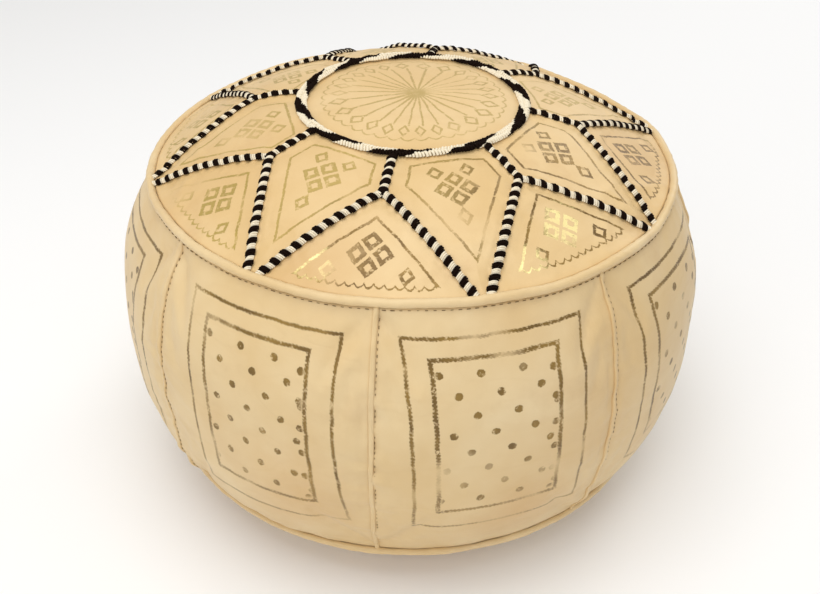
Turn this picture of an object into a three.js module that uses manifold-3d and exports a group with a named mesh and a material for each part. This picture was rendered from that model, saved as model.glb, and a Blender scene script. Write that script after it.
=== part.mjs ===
// A stuffed round leather pouf: a crown pieced from a medallion, eight kites and eight triangles under
// embroidered braid, eight side panels with welted seams, two piped rims, and a base in two halves with a zip.
// Millimetres, +Z up, origin at the middle of the base. Azimuth 0 points along -Y and grows towards +X.
import * as THREE from "three";
import { mergeVertices } from "three/addons/utils/BufferGeometryUtils.js";
import Module from "manifold-3d";

const wasm = await Module();
wasm.setup();

// ---------- driving dimensions ----------
const pieceCount = 8; // kites, triangles and side panels all round
const widestRadius = 254; // outside of the leather at its widest
const widestHeight = 175;
const crownHeight = 350; // outside of the leather in the middle of the top
const topRimRadius = 220; // where the crown meets the side
const topRimHeight = 293;
const baseRimRadius = 223; // where the side meets the base
const baseRimHeight = 45;
const baseFlatRadius = 165; // the part of the base that lies on the floor
const sideFullness = 2.4; // exponents of the profile curves: higher is fuller
const crownFullness = 2.6;
const baseFullness = 1.6;
const leather = 2; // thickness of the leather with its backing
const sideTurn = 2.7; // degrees that the side panels are sewn off the crown's kites

const medallionRadius = 93; // the seam under the braid ring
const forkRadius = 137; // where a stem seam splits in two
const tipHalfWidth = 4; // half of a kite's blunt tip at the rim
const ringBraidWidth = 9;
const ringBraidHeight = 3.8;
const seamBraidWidth = 7.2;
const seamBraidHeight = 3.8;
const braidEdge = 0.8; // height of a braid's side before it rounds over
const weltWidth = 4.4;
const weltHeight = 2.4;

const topPipingRadius = 3.5;
const basePipingRadius = 3;
const pipingProud = 1.5; // how far the piping's middle stands outside the seam
const pipingWall = 1.1;
const pipingSlit = 70; // degrees of the piping cover left open towards the seam

const seamGap = 0.9; // between neighbouring leather pieces, measured round the pouf
const baseSeamGap = 0.5; // between the base halves beyond the zip
const ringSeamGap = 1.1; // round the medallion, under the braid ring
const clearance = 0.3; // between a leather edge and the piping or braid beside it
const braidLift = 0.8; // between the leather and the underside of a braid or welt
const stuffingClearance = 2; // between the leather and the stuffing

const zipSlitHalf = 152; // half the length of the opening in the base
const zipSlitWidth = 12;
const zipRecess = 9; // height of the zip's valley above the floor
const valleyShoulder = 12; // half width of the valley's flat top
const valleyFoot = 30; // half width of the valley at the floor
const zipRoom = 6; // room for the slider between the valley and the stuffing
const tapeWidth = 14;
const tapeThickness = 0.8;
const tapeOverrun = 6; // tape beyond each end of the opening
const coilWidth = 2.5;
const coilHeight = 2;
const coilGap = 1.5; // between the two coils, where the slider's post runs
const zipGap = 0.3; // between neighbouring zip parts that don't move
const stopLength = 2;

const sliderLength = 11;
const sliderWidth = 10;
const sliderNoseWidth = 7.6;
const wingThickness = 1.2;
const sliderGap = 0.4; // between the slider and the chain
const postThickness = 0.9;
const postLength = 3.5;
const lipThickness = 1.2;
const bridgeLength = 7.6;
const bridgeWidth = 2.2;
const bridgeThickness = 1.1;
const pivotRadius = 0.7;
const pullLength = 27;
const pullWidth = 7.4;
const pullTipWidth = 6;
const pullThickness = 1.4;
const pullWindowLength = 5.5;
const pullArmWidth = 1.3;
const pullFloorGap = 0.2; // the hanging pull's tip to the floor

const roundSteps = 48; // facets round each turned piece
const facetSag = 1 - Math.cos(Math.PI / roundSteps); // how far in the middle of a facet lies, per radius
const panelRows = 8;
const panelColumns = 5;
const crownRows = 2; // rows between the ring and the fork, and half of those beyond it
const crownColumns = 4;
const braidFacets = 3; // over a braid's section
const weltFacets = 2;
const pipingFacets = 5; // round a piping's cover

const leatherFinish = { color: 0xe6cda2, roughness: 0.55, metalness: 0 };
const finishes = {
  leather: new THREE.MeshStandardMaterial(leatherFinish),
  braid: new THREE.MeshStandardMaterial({ color: 0x8a8378, roughness: 0.9, metalness: 0 }),
  stuffing: new THREE.MeshStandardMaterial({ color: 0xd8d2c4, roughness: 1, metalness: 0 }),
  cord: new THREE.MeshStandardMaterial({ color: 0xded6c2, roughness: 1, metalness: 0 }),
  tape: new THREE.MeshStandardMaterial({ color: 0xd9c49a, roughness: 0.9, metalness: 0 }),
  coil: new THREE.MeshStandardMaterial({ color: 0xcdb98e, roughness: 0.5, metalness: 0 }),
  brass: new THREE.MeshStandardMaterial({ color: 0xb08d4a, roughness: 0.35, metalness: 1 }),
};

// ---------- the pouf's outer surfaces ----------
const radians = THREE.MathUtils.degToRad;
const sector = 360 / pieceCount;

const sideRadius = (z) => {
  const above = z > widestHeight;
  const rimRadius = above ? topRimRadius : baseRimRadius;
  const rimHeight = above ? topRimHeight : baseRimHeight;
  const share = Math.abs((z - widestHeight) / (rimHeight - widestHeight));
  return widestRadius - (widestRadius - rimRadius) * share ** sideFullness;
};
const crownSurface = (r) => crownHeight - (crownHeight - topRimHeight) * (r / topRimRadius) ** crownFullness;
const baseRise = (r) => {
  const share = Math.max(0, (r - baseFlatRadius) / (baseRimRadius - baseFlatRadius));
  return baseRimHeight * share ** baseFullness;
};

// The three surfaces as curves in the plane of radius and height, with their outward normals.
const slopeStep = 0.01;
const outwardNormal = (curve, t) => {
  const along = curve(t + slopeStep).sub(curve(t - slopeStep));
  return new THREE.Vector2(along.y, -along.x).normalize();
};
const sideCurve = (z) => new THREE.Vector2(sideRadius(z), z);
const crownCurve = (r) => new THREE.Vector2(r, crownSurface(r));
const baseCurve = (r) => new THREE.Vector2(r, baseRise(r));
const sidePoint = (z, lift) => sideCurve(z).addScaledVector(outwardNormal(sideCurve, z), lift);
const crownPoint = (r, lift) => crownCurve(r).addScaledVector(outwardNormal(crownCurve, r), -lift);
const basePoint = (r, lift) => baseCurve(r).addScaledVector(outwardNormal(baseCurve, r), lift);
const turned = (point, azimuth) =>
  new THREE.Vector3(point.x * Math.sin(radians(azimuth)), -point.x * Math.cos(radians(azimuth)), point.y);

// The parameter at which a curve is a given distance from a point, between a near and a far parameter.
const stopShort = (curve, centre, distance, near, far) => {
  for (let step = 0; step < 40; step++) {
    const middle = (near + far) / 2;
    if (curve(middle).distanceTo(centre) < distance) near = middle;
    else far = middle;
  }
  return far;
};

const pipingCentre = (corner, normalA, normalB) =>
  corner.clone().addScaledVector(normalA.clone().add(normalB).normalize(), pipingProud);
const topPiping = pipingCentre(
  crownCurve(topRimRadius),
  outwardNormal(sideCurve, topRimHeight - 1),
  outwardNormal(crownCurve, topRimRadius).negate(),
);
const basePiping = pipingCentre(
  baseCurve(baseRimRadius),
  outwardNormal(sideCurve, baseRimHeight + 1),
  outwardNormal(baseCurve, baseRimRadius),
);
const topReach = topPipingRadius + clearance + facetSag * topRimRadius;
const baseReach = basePipingRadius + clearance + facetSag * baseRimRadius;
const crownEdge = stopShort(crownCurve, topPiping, topReach, topRimRadius, 0);
const sideTop = stopShort(sideCurve, topPiping, topReach, topRimHeight, widestHeight);
const sideBottom = stopShort(sideCurve, basePiping, baseReach, baseRimHeight, widestHeight);
const baseEdge = stopShort(baseCurve, basePiping, baseReach, baseRimRadius, 0);

// Half the angle of a kite at radius r: straight stem seams as far as the fork, then straight seams to the tip.
const kiteHalfAngle = (r) => {
  const half = radians(sector / 2);
  if (r <= forkRadius) return THREE.MathUtils.radToDeg(half);
  const fork = new THREE.Vector2(forkRadius * Math.sin(half), forkRadius * Math.cos(half));
  const tip = new THREE.Vector2(tipHalfWidth, Math.sqrt(topRimRadius ** 2 - tipHalfWidth ** 2));
  let near = 0;
  let far = 1;
  const onSeam = (share) => fork.clone().lerp(tip, share);
  for (let step = 0; step < 40; step++) {
    const middle = (near + far) / 2;
    if (onSeam(middle).length() < r) near = middle;
    else far = middle;
  }
  const seam = onSeam(far);
  return THREE.MathUtils.radToDeg(Math.atan2(seam.x, seam.y));
};
const gapAngle = (width, r) => THREE.MathUtils.radToDeg(width / r);

// ---------- solids ----------
// A closed slab between two grids of points with the same rows and columns. Its first grid faces the way a
// right-handed screw moves when it turns from the rows' direction to the columns'.
const slab = (upper, lower) => {
  const rows = upper.length;
  const columns = upper[0].length;
  const positions = [];
  [upper, lower].forEach((grid) => grid.forEach((row) => row.forEach((p) => positions.push(p.x, p.y, p.z))));
  const top = (i, j) => i * columns + j;
  const under = (i, j) => rows * columns + i * columns + j;
  const faces = [];
  const quad = (a, b, c, d) => faces.push(a, c, b, a, d, c);
  for (let i = 0; i < rows - 1; i++) {
    for (let j = 0; j < columns - 1; j++) {
      quad(top(i, j), top(i, j + 1), top(i + 1, j + 1), top(i + 1, j));
      quad(under(i, j), under(i + 1, j), under(i + 1, j + 1), under(i, j + 1));
    }
    quad(top(i, 0), top(i + 1, 0), under(i + 1, 0), under(i, 0));
    quad(top(i + 1, columns - 1), top(i, columns - 1), under(i, columns - 1), under(i + 1, columns - 1));
  }
  for (let j = 0; j < columns - 1; j++) {
    quad(top(0, j + 1), top(0, j), under(0, j), under(0, j + 1));
    quad(top(rows - 1, j), top(rows - 1, j + 1), under(rows - 1, j + 1), under(rows - 1, j));
  }
  const geometry = new THREE.BufferGeometry();
  geometry.setAttribute("position", new THREE.Float32BufferAttribute(positions, 3));
  geometry.setIndex(faces);
  return geometry;
};

const solidOf = (geometry) => {
  const plain = geometry.clone();
  plain.deleteAttribute("normal");
  plain.deleteAttribute("uv");
  const merged = mergeVertices(plain, 1e-4);
  const mesh = new wasm.Mesh({
    numProp: 3,
    vertProperties: new Float32Array(merged.attributes.position.array),
    triVerts: new Uint32Array(merged.index.array),
  });
  const solid = new wasm.Manifold(mesh);
  return solid;
};
const geometryOf = (solid) => {
  const mesh = solid.getMesh();
  const geometry = new THREE.BufferGeometry();
  geometry.setAttribute("position", new THREE.Float32BufferAttribute(mesh.vertProperties, 3));
  geometry.setIndex([...mesh.triVerts]);
  return geometry;
};
const joined = (geometries) => geometryOf(geometries.map(solidOf).reduce((all, next) => all.add(next)));
const box = (xRange, yRange, zRange) =>
  new THREE.BoxGeometry(xRange[1] - xRange[0], yRange[1] - yRange[0], zRange[1] - zRange[0]).translate(
    (xRange[0] + xRange[1]) / 2,
    (yRange[0] + yRange[1]) / 2,
    (zRange[0] + zRange[1]) / 2,
  );
// A profile of radius and height turned about Z. The profile runs so that its outside is on its right, and
// one that doesn't start and end on the axis is closed into a ring.
const turnedSolid = (profile) => {
  const onAxis = profile[0].x === 0 && profile.at(-1).x === 0;
  const outline = onAxis ? profile : [...profile, profile[0].clone()];
  return new THREE.LatheGeometry(outline, roundSteps).rotateX(Math.PI / 2);
};
const evenly = (steps, from, to) => Array.from({ length: steps + 1 }, (_, i) => from + ((to - from) * i) / steps);

const pouf = new THREE.Group();
const add = (name, geometry, finish) => {
  const mesh = new THREE.Mesh(geometry, finishes[finish]);
  mesh.name = name;
  pouf.add(mesh);
};

// ---------- crown leather ----------
// Kites and triangles share their rows beyond the fork, so that their edges stay parallel along the seam.
const apexRadius = forkRadius + seamBraidWidth / 2; // a triangle's apex is blunt under the braid
const outerRows = evenly(2 * crownRows, apexRadius, crownEdge);
const innerRows = evenly(crownRows, medallionRadius + ringSeamGap / 2, forkRadius);
const crownPiece = (radii, halfAngle, centre) => {
  const grid = (lift) =>
    radii.map((r) => {
      const half = halfAngle(r) - gapAngle(seamGap / 2, r);
      return evenly(crownColumns, centre - half, centre + half).map((a) => turned(crownPoint(r, lift), a));
    });
  return slab(grid(0), grid(-leather));
};

const medallionRadii = evenly(2, 0, medallionRadius - ringSeamGap / 2);
add(
  "crown_medallion",
  turnedSolid([
    ...medallionRadii.map((r) => new THREE.Vector2(r, crownPoint(Math.max(r, 1), -leather).y)),
    ...medallionRadii.toReversed().map((r) => new THREE.Vector2(r, crownPoint(Math.max(r, 1), 0).y)),
  ]),
  "leather",
);
const triangleHalfAngle = (r) => sector / 2 - kiteHalfAngle(r);
for (let k = 0; k < pieceCount; k++) {
  add(`crown_kite_${k + 1}`, crownPiece([...innerRows, ...outerRows], kiteHalfAngle, k * sector), "leather");
  add(`crown_triangle_${k + 1}`, crownPiece(outerRows, triangleHalfAngle, (k + 0.5) * sector), "leather");
}

// ---------- braid over the crown's seams ----------
const arch = (width, height, facets) =>
  evenly(facets, 0, Math.PI).map((angle) => ({
    side: (-Math.cos(angle) * width) / 2,
    high: braidEdge + (height - braidEdge) * Math.sin(angle),
  }));

const ringSection = arch(ringBraidWidth, ringBraidHeight, braidFacets);
add(
  "braid_ring",
  turnedSolid([
    ...[-1, 1].map((hand) => crownPoint(medallionRadius + (hand * ringBraidWidth) / 2, braidLift)),
    ...ringSection.toReversed().map(({ side, high }) => crownPoint(medallionRadius + side, braidLift + high)),
  ]),
  "braid",
);

// A braid along points on the crown, each given by its place in plan.
const braidAlong = (planPoints) => {
  const frames = planPoints.map((plan, i) => {
    const before = planPoints[Math.max(0, i - 1)];
    const after = planPoints[Math.min(planPoints.length - 1, i + 1)];
    const at = (p, lift) => turned(crownPoint(p.length(), lift), THREE.MathUtils.radToDeg(Math.atan2(p.x, p.y)));
    const along = at(after, 0).sub(at(before, 0)).normalize();
    const up = at(plan, 1).sub(at(plan, 0)).normalize();
    return { at: at(plan, 0), up, across: up.clone().cross(along).normalize() };
  });
  const section = arch(seamBraidWidth, seamBraidHeight, braidFacets);
  const grid = (height) =>
    frames.map((f) =>
      section.map((s) => f.at.clone().addScaledVector(f.across, s.side).addScaledVector(f.up, height(s))),
    );
  return slab(
    grid((s) => braidLift + s.high),
    grid(() => braidLift),
  );
};
const planAt = (r, azimuth) =>
  new THREE.Vector2(r * Math.sin(radians(azimuth)), r * Math.cos(radians(azimuth)));
const stemStart = medallionRadius + ringBraidWidth / 2 + clearance;
const armTop = (r) => crownPoint(r, braidLift + seamBraidHeight);
const armEnd = stopShort(armTop, topPiping, topReach + seamBraidWidth / 3, topRimRadius, 0);
for (let k = 0; k < pieceCount; k++) {
  const forkAzimuth = (k + 0.5) * sector;
  const stem = evenly(2, stemStart, forkRadius).map((r) => planAt(r, forkAzimuth));
  const arms = [-1, 1].map((hand) => {
    const onSeam = (r) => planAt(r, forkAzimuth + hand * triangleHalfAngle(r));
    return [forkRadius, ...outerRows.slice(1, -1), armEnd].map(onSeam);
  });
  add(`seam_braid_${k + 1}`, joined([stem, ...arms].map(braidAlong)), "braid");
}

// ---------- side panels and the welts over their seams ----------
const sideHeights = evenly(panelRows, sideBottom, sideTop);
for (let k = 0; k < pieceCount; k++) {
  const centre = k * sector + sideTurn;
  const grid = (lift) =>
    sideHeights.map((z) => {
      const half = sector / 2 - gapAngle(seamGap / 2, sideRadius(z));
      return evenly(panelColumns, centre - half, centre + half).map((a) => turned(sidePoint(z, lift), a));
    });
  add(`side_panel_${k + 1}`, slab(grid(-leather), grid(0)), "leather");

  const seamAzimuth = centre + sector / 2;
  const welt = arch(weltWidth, weltHeight, weltFacets);
  const weltHeights = evenly(panelRows, sideBottom + clearance, sideTop - clearance);
  const weltGrid = (lift) =>
    weltHeights.map((z) =>
      welt.map((s) => turned(sidePoint(z, lift(s)), seamAzimuth + gapAngle(s.side, sideRadius(z)))),
    );
  add(
    `side_welt_${k + 1}`,
    slab(
      weltGrid(() => braidLift),
      weltGrid((s) => braidLift + s.high),
    ),
    "leather",
  );
}

// ---------- piping: a leather cover folded round a cord ----------
const piping = (name, centre, radius, slitAngle) => {
  const round = (r, from, to) =>
    evenly(pipingFacets, radians(from), radians(to)).map(
      (angle) => new THREE.Vector2(centre.x + r * Math.cos(angle), centre.y + r * Math.sin(angle)),
    );
  const start = slitAngle + pipingSlit / 2;
  const end = slitAngle + 360 - pipingSlit / 2;
  const cover = [...round(radius, start, end), ...round(radius - pipingWall, end, start)];
  add(`${name}_piping_cover`, turnedSolid(cover), "leather");
  const facetTurn = radians((360 - pipingSlit) / pipingFacets);
  const cordRadius = (radius - pipingWall) * Math.cos(facetTurn / 2) - clearance;
  add(`${name}_piping_cord`, turnedSolid(round(cordRadius, 0, 360).slice(0, -1)), "cord");
};
const slitTowards = (centre, corner) =>
  THREE.MathUtils.radToDeg(Math.atan2(corner.y - centre.y, corner.x - centre.x));
piping("top", topPiping, topPipingRadius, slitTowards(topPiping, crownCurve(topRimRadius)));
piping("base", basePiping, basePipingRadius, slitTowards(basePiping, baseCurve(baseRimRadius)));

// ---------- base halves, with the zip's valley between them ----------
// A solid along X under a roof: the valley's own roof when offset is 0, or one that lies further in by offset.
const roofPitch = Math.atan2(zipRecess, valleyFoot - valleyShoulder);
const underRoof = (offset) => {
  const top = zipRecess + offset;
  const shoulder = valleyShoulder + offset * Math.tan(roofPitch / 2);
  const foot = shoulder + (top + 1) / Math.tan(roofPitch);
  const outline = new THREE.Shape([
    new THREE.Vector2(-foot, -1),
    new THREE.Vector2(foot, -1),
    new THREE.Vector2(shoulder, top),
    new THREE.Vector2(-shoulder, top),
  ]);
  return solidOf(
    new THREE.ExtrudeGeometry(outline, { depth: 2 * baseRimRadius, bevelEnabled: false })
      .translate(0, 0, -baseRimRadius)
      .rotateX(Math.PI / 2)
      .rotateZ(Math.PI / 2),
  );
};

const baseRadii = [baseFlatRadius, ...evenly(4, baseFlatRadius, baseEdge).slice(1)];
const halfFacet = Math.PI / roundSteps;
const dishUnder = [new THREE.Vector2(0, 0), ...baseRadii.map((r) => basePoint(r, 0))];
const dishOver = [...baseRadii.toReversed().map((r) => basePoint(r, -leather)), new THREE.Vector2(0, leather)];
const dish = solidOf(turnedSolid([...dishUnder, ...dishOver]).rotateZ(halfFacet));
const bowl = solidOf(turnedSolid([...dishUnder, new THREE.Vector2(0, dishUnder.at(-1).y)]).rotateZ(halfFacet));
const slit = solidOf(box([-zipSlitHalf, zipSlitHalf], [-zipSlitWidth / 2, zipSlitWidth / 2], [-20, 20]));
const base = dish.add(underRoof(leather).intersect(bowl)).subtract(underRoof(0)).subtract(slit);
[
  ["front", -1],
  ["back", 1],
].forEach(([name, hand]) => {
  const otherSide = [-hand * widestRadius, (hand * baseSeamGap) / 2].sort((a, b) => a - b);
  const away = solidOf(box([-widestRadius, widestRadius], otherSide, [-20, 60]));
  add(`base_half_${name}`, geometryOf(base.subtract(away)), "leather");
});

// ---------- stuffing ----------
const stuffingInset = leather + stuffingClearance;
const cornerRelief = 6; // the stuffing is blunt behind each rim
const stuffingProfile = [
  new THREE.Vector2(0, stuffingInset),
  ...evenly(2, baseFlatRadius, baseRimRadius - cornerRelief).map((r) => basePoint(r, -stuffingInset)),
  ...sideHeights.slice(1, -1).map((z) => sidePoint(z, -stuffingInset)),
  ...evenly(4, topRimRadius - cornerRelief, medallionRadius / 2).map((r) => crownPoint(r, -stuffingInset)),
  new THREE.Vector2(0, crownHeight - stuffingInset),
];
add("stuffing", geometryOf(solidOf(turnedSolid(stuffingProfile)).subtract(underRoof(zipRoom))), "stuffing");

// ---------- zip ----------
const coilBottom = zipRecess;
const coilTop = coilBottom + coilHeight;
const tapeBottom = coilTop + zipGap;
const tapeTop = tapeBottom + tapeThickness;
const coilInner = coilGap / 2;
const coilOuter = coilInner + coilWidth;
const tapeInner = coilInner + coilWidth / 2;
const stopOuter = zipSlitHalf - 1;
const stopInner = stopOuter - stopLength;
const coilEnd = stopInner - zipGap;
[
  ["front", -1],
  ["back", 1],
].forEach(([name, hand]) => {
  const across = (near, far) => [near * hand, far * hand].sort((a, b) => a - b);
  const tapeEnd = zipSlitHalf + tapeOverrun;
  const tape = box([-tapeEnd, tapeEnd], across(tapeInner, tapeInner + tapeWidth), [tapeBottom, tapeTop]);
  add(`zip_tape_${name}`, tape, "tape");
  add(`zip_coil_${name}`, box([-coilEnd, coilEnd], across(coilInner, coilOuter), [coilBottom, coilTop]), "coil");
  const topStop = box([stopInner, stopOuter], across(coilInner, coilOuter), [coilBottom, coilTop]);
  add(`zip_top_stop_${name}`, topStop, "brass");
});
add(
  "zip_bottom_stop",
  box([-stopOuter, -stopInner], [-coilOuter, coilOuter], [coilBottom, coilTop]),
  "brass",
);

// The slider is drawn at the closed end: two wings joined by a post, lips beside the coils, a bridge below.
const sliderX = coilEnd - sliderLength / 2;
const wingOutline = new THREE.Shape([
  new THREE.Vector2(-sliderLength / 2, -sliderNoseWidth / 2),
  new THREE.Vector2(-1, -sliderNoseWidth / 2),
  new THREE.Vector2(1.5, -sliderWidth / 2),
  new THREE.Vector2(sliderLength / 2, -sliderWidth / 2),
  new THREE.Vector2(sliderLength / 2, sliderWidth / 2),
  new THREE.Vector2(1.5, sliderWidth / 2),
  new THREE.Vector2(-1, sliderNoseWidth / 2),
  new THREE.Vector2(-sliderLength / 2, sliderNoseWidth / 2),
]);
const wing = (z) =>
  new THREE.ExtrudeGeometry(wingOutline, { depth: wingThickness, bevelEnabled: false }).translate(sliderX, 0, z);
const lowerWingTop = coilBottom - sliderGap;
const lowerWingBottom = lowerWingTop - wingThickness;
const upperWingBottom = tapeTop + sliderGap;
const lipInner = coilOuter + sliderGap;
const lipTop = tapeBottom - sliderGap;
const lip = (hand) =>
  box(
    [sliderX + 1.5, sliderX + sliderLength / 2],
    [lipInner * hand, (lipInner + lipThickness - 0.3) * hand].sort((a, b) => a - b),
    [lowerWingTop - wingThickness / 2, lipTop],
  );
const postEnd = sliderX + sliderLength / 2 - 1;
const post = box(
  [postEnd - postLength, postEnd],
  [-postThickness / 2, postThickness / 2],
  [lowerWingTop - wingThickness / 2, upperWingBottom + wingThickness / 2],
);
const pivotZ = lowerWingBottom - sliderGap - pivotRadius;
const bridgeInside = pivotZ - pivotRadius - sliderGap;
const bridgeBottom = bridgeInside - bridgeThickness;
const bridgeBar = box(
  [sliderX - bridgeLength / 2, sliderX + bridgeLength / 2],
  [-bridgeWidth / 2, bridgeWidth / 2],
  [bridgeBottom, bridgeInside],
);
const bridgeFoot = (hand) => {
  const outer = (hand * bridgeLength) / 2;
  const inner = outer - hand * bridgeThickness;
  return box(
    [sliderX + Math.min(outer, inner), sliderX + Math.max(outer, inner)],
    [-bridgeWidth / 2, bridgeWidth / 2],
    [bridgeBottom, lowerWingTop - wingThickness / 2],
  );
};
add(
  "zip_slider",
  joined([
    wing(lowerWingBottom),
    wing(upperWingBottom),
    lip(-1),
    lip(1),
    post,
    bridgeBar,
    bridgeFoot(-1),
    bridgeFoot(1),
  ]),
  "brass",
);

// The pull hangs from a pivot bar under the bridge, with its tip just off the floor.
const pullOutline = new THREE.Shape([
  new THREE.Vector2(-pullLength, -pullTipWidth / 2),
  new THREE.Vector2(0, -pullWidth / 2),
  new THREE.Vector2(0, pullWidth / 2),
  new THREE.Vector2(-pullLength, pullTipWidth / 2),
]);
const armInner = pullWidth / 2 - pullArmWidth;
pullOutline.holes.push(
  new THREE.Path([
    new THREE.Vector2(-pullWindowLength, -armInner),
    new THREE.Vector2(-pullWindowLength, armInner),
    new THREE.Vector2(-pivotRadius, armInner),
    new THREE.Vector2(-pivotRadius, -armInner),
  ]),
);
const pullPlate = new THREE.ExtrudeGeometry(pullOutline, {
  depth: pullThickness,
  bevelEnabled: false,
}).translate(0, 0, -pullThickness / 2);
const pivotBar = new THREE.CylinderGeometry(pivotRadius, pivotRadius, pullWidth, 12);
const hangAngle = Math.asin((pivotZ - pullThickness / 2 - pullFloorGap) / pullLength);
const pullHole = new THREE.CylinderGeometry(1.4, 1.4, 2 * pullThickness, 16)
  .rotateX(Math.PI / 2)
  .translate(-pullLength + 3.4, 0, 0);
const pullSolid = solidOf(pullPlate).add(solidOf(pivotBar)).subtract(solidOf(pullHole));
const pull = new THREE.Mesh(geometryOf(pullSolid), finishes.brass);
pull.name = "zip_pull";
pull.position.set(sliderX, 0, pivotZ);
pull.rotation.y = -hangAngle;
pouf.add(pull);

export default pouf;
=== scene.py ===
"""A stuffed round leather pouf with foil stamping, embroidered braid, piping and a zip in its base."""
import math

import bpy
import numpy as np
from mathutils import Matrix, Vector


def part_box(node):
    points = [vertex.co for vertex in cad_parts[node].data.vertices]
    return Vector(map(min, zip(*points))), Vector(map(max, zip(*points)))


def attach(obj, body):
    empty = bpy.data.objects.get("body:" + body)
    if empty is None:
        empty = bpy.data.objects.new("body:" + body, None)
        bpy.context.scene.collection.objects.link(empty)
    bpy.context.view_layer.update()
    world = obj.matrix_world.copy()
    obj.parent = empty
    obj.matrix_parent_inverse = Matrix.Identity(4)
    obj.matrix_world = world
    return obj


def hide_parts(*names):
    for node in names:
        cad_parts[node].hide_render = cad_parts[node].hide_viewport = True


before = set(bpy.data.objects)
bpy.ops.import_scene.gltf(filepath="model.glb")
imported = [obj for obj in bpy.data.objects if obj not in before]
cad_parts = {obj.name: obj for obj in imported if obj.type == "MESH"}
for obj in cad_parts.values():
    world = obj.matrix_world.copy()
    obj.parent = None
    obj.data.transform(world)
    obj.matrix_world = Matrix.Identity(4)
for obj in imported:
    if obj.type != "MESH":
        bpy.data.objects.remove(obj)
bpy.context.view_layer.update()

# ---------- sizes in millimetres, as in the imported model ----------
MM = 0.001
PIECES = 8
SECTOR = 360 / PIECES
SIDE_TURN = 2.7  # degrees from the crown's kites to the side panels
WIDEST = (254.0, 175.0)  # radius, height
TOP_RIM = (220.0, 293.0)
BASE_RIM = (223.0, 45.0)
SIDE_FULLNESS, CROWN_FULLNESS, BASE_FULLNESS = 2.4, 2.6, 1.6  # powers of the three profiles
CROWN_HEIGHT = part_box("crown_medallion")[1].z / MM
BASE_FLAT = 165.0
LEATHER = 2.0
RING_RADIUS = 93.0
FORK_RADIUS = 137.0
TIP_HALF_WIDTH = 4.0
ZIP_RECESS = 9.0
VALLEY_SHOULDER, VALLEY_FOOT = 12.0, 30.0
SLIT_HALF_LENGTH, SLIT_HALF_WIDTH = 152.0, 6.0
BRAID_WIDTH = 7.2
THREAD_PITCH = 1.6
SEAM_REPEAT, BLACK_HALF = 9.6, 2.55  # one black and white repeat along a seam braid, and half its black
RING_THREADS = 236
RING_LENGTH = 2 * math.pi * RING_RADIUS
RING_REPEAT = RING_LENGTH / 10
LOW_BULGES = ((-62, 85, 4.2), (45, 80, 2.0))  # azimuth, height, how far the side stands out there
RIM_SINKS = ((-118, 5.0), (116, 4.0), (20, 1.0))  # azimuth, depth
NOISE_GRID = (97, 89)


def piping_seat(name, own_radius):
    """Radius and height of a piping's middle, and its own radius, from its packed cover and cord."""
    cord_low, cord_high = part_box(f"{name}_cord")
    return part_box(f"{name}_cover")[1].x / MM - own_radius, (cord_low.z + cord_high.z) / 2 / MM, own_radius


TOP_PIPING = piping_seat("top_piping", 3.5)
BASE_PIPING = piping_seat("base_piping", 3.0)

# ---------- the pouf's smooth surfaces ----------


def side_radius(z):
    above = z > WIDEST[1]
    rim_r = np.where(above, TOP_RIM[0], BASE_RIM[0])
    rim_z = np.where(above, TOP_RIM[1], BASE_RIM[1])
    share = np.abs((z - WIDEST[1]) / (rim_z - WIDEST[1]))
    return WIDEST[0] - (WIDEST[0] - rim_r) * share**SIDE_FULLNESS


def crown_rise(r):
    return CROWN_HEIGHT - (CROWN_HEIGHT - TOP_RIM[1]) * (np.abs(r) / TOP_RIM[0]) ** CROWN_FULLNESS


def base_rise(r):
    share = np.clip((r - BASE_FLAT) / (BASE_RIM[0] - BASE_FLAT), 0, None)
    return BASE_RIM[1] * share**BASE_FULLNESS


def on_profile(curve, t, azimuth, lift):
    """Points on a turned surface. curve gives radius and height, and lift is out along the normal."""
    step = 0.01
    r, z = curve(t)
    r1, z1 = curve(t + step)
    r0, z0 = curve(t - step)
    dr, dz = r1 - r0, z1 - z0
    size = np.hypot(dr, dz)
    r = r + lift * dz / size
    z = z - lift * dr / size
    a = np.radians(azimuth)
    return np.stack([r * np.sin(a), -r * np.cos(a), z + 0 * a], axis=-1)


def on_side(z, azimuth, lift=0.0):
    return on_profile(lambda t: (side_radius(t), t), z, azimuth, lift)


def on_crown(r, azimuth, lift=0.0):
    return on_profile(lambda t: (t, crown_rise(t)), r, azimuth, -np.asarray(lift))


def kite_half_angle(r):
    """Half the angle of a kite at radius r, in degrees."""
    half = math.radians(SECTOR / 2)
    fork = np.array([math.sin(half), math.cos(half)]) * FORK_RADIUS
    tip = np.array([TIP_HALF_WIDTH, math.sqrt(TOP_RIM[0] ** 2 - TIP_HALF_WIDTH**2)])
    r = np.atleast_1d(np.asarray(r, float))
    along = tip - fork
    a, b = along @ along, 2 * fork @ along
    c = fork @ fork - np.maximum(r, FORK_RADIUS) ** 2
    share = (-b + np.sqrt(b * b - 4 * a * c)) / (2 * a)
    seam = fork + share[:, None] * along
    return np.degrees(np.arctan2(seam[:, 0], seam[:, 1]))


def turned_from(azimuth, middle):
    """Degrees from one azimuth to another, from -180 to 180."""
    return (azimuth - middle + 180) % 360 - 180


def from_side_seam(azimuth):
    """Degrees from an azimuth to the nearest seam between two side panels."""
    past = (azimuth - SIDE_TURN - SECTOR / 2) % SECTOR
    return np.minimum(past, SECTOR - past)


def between_four(pick, i, j, fx, fy):
    """The value at shares fx and fy of the way between four neighbours of a grid."""
    low = pick(i, j) * (1 - fx) + pick(i + 1, j) * fx
    high = pick(i, j + 1) * (1 - fx) + pick(i + 1, j + 1) * fx
    return low * (1 - fy) + high * fy


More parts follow.
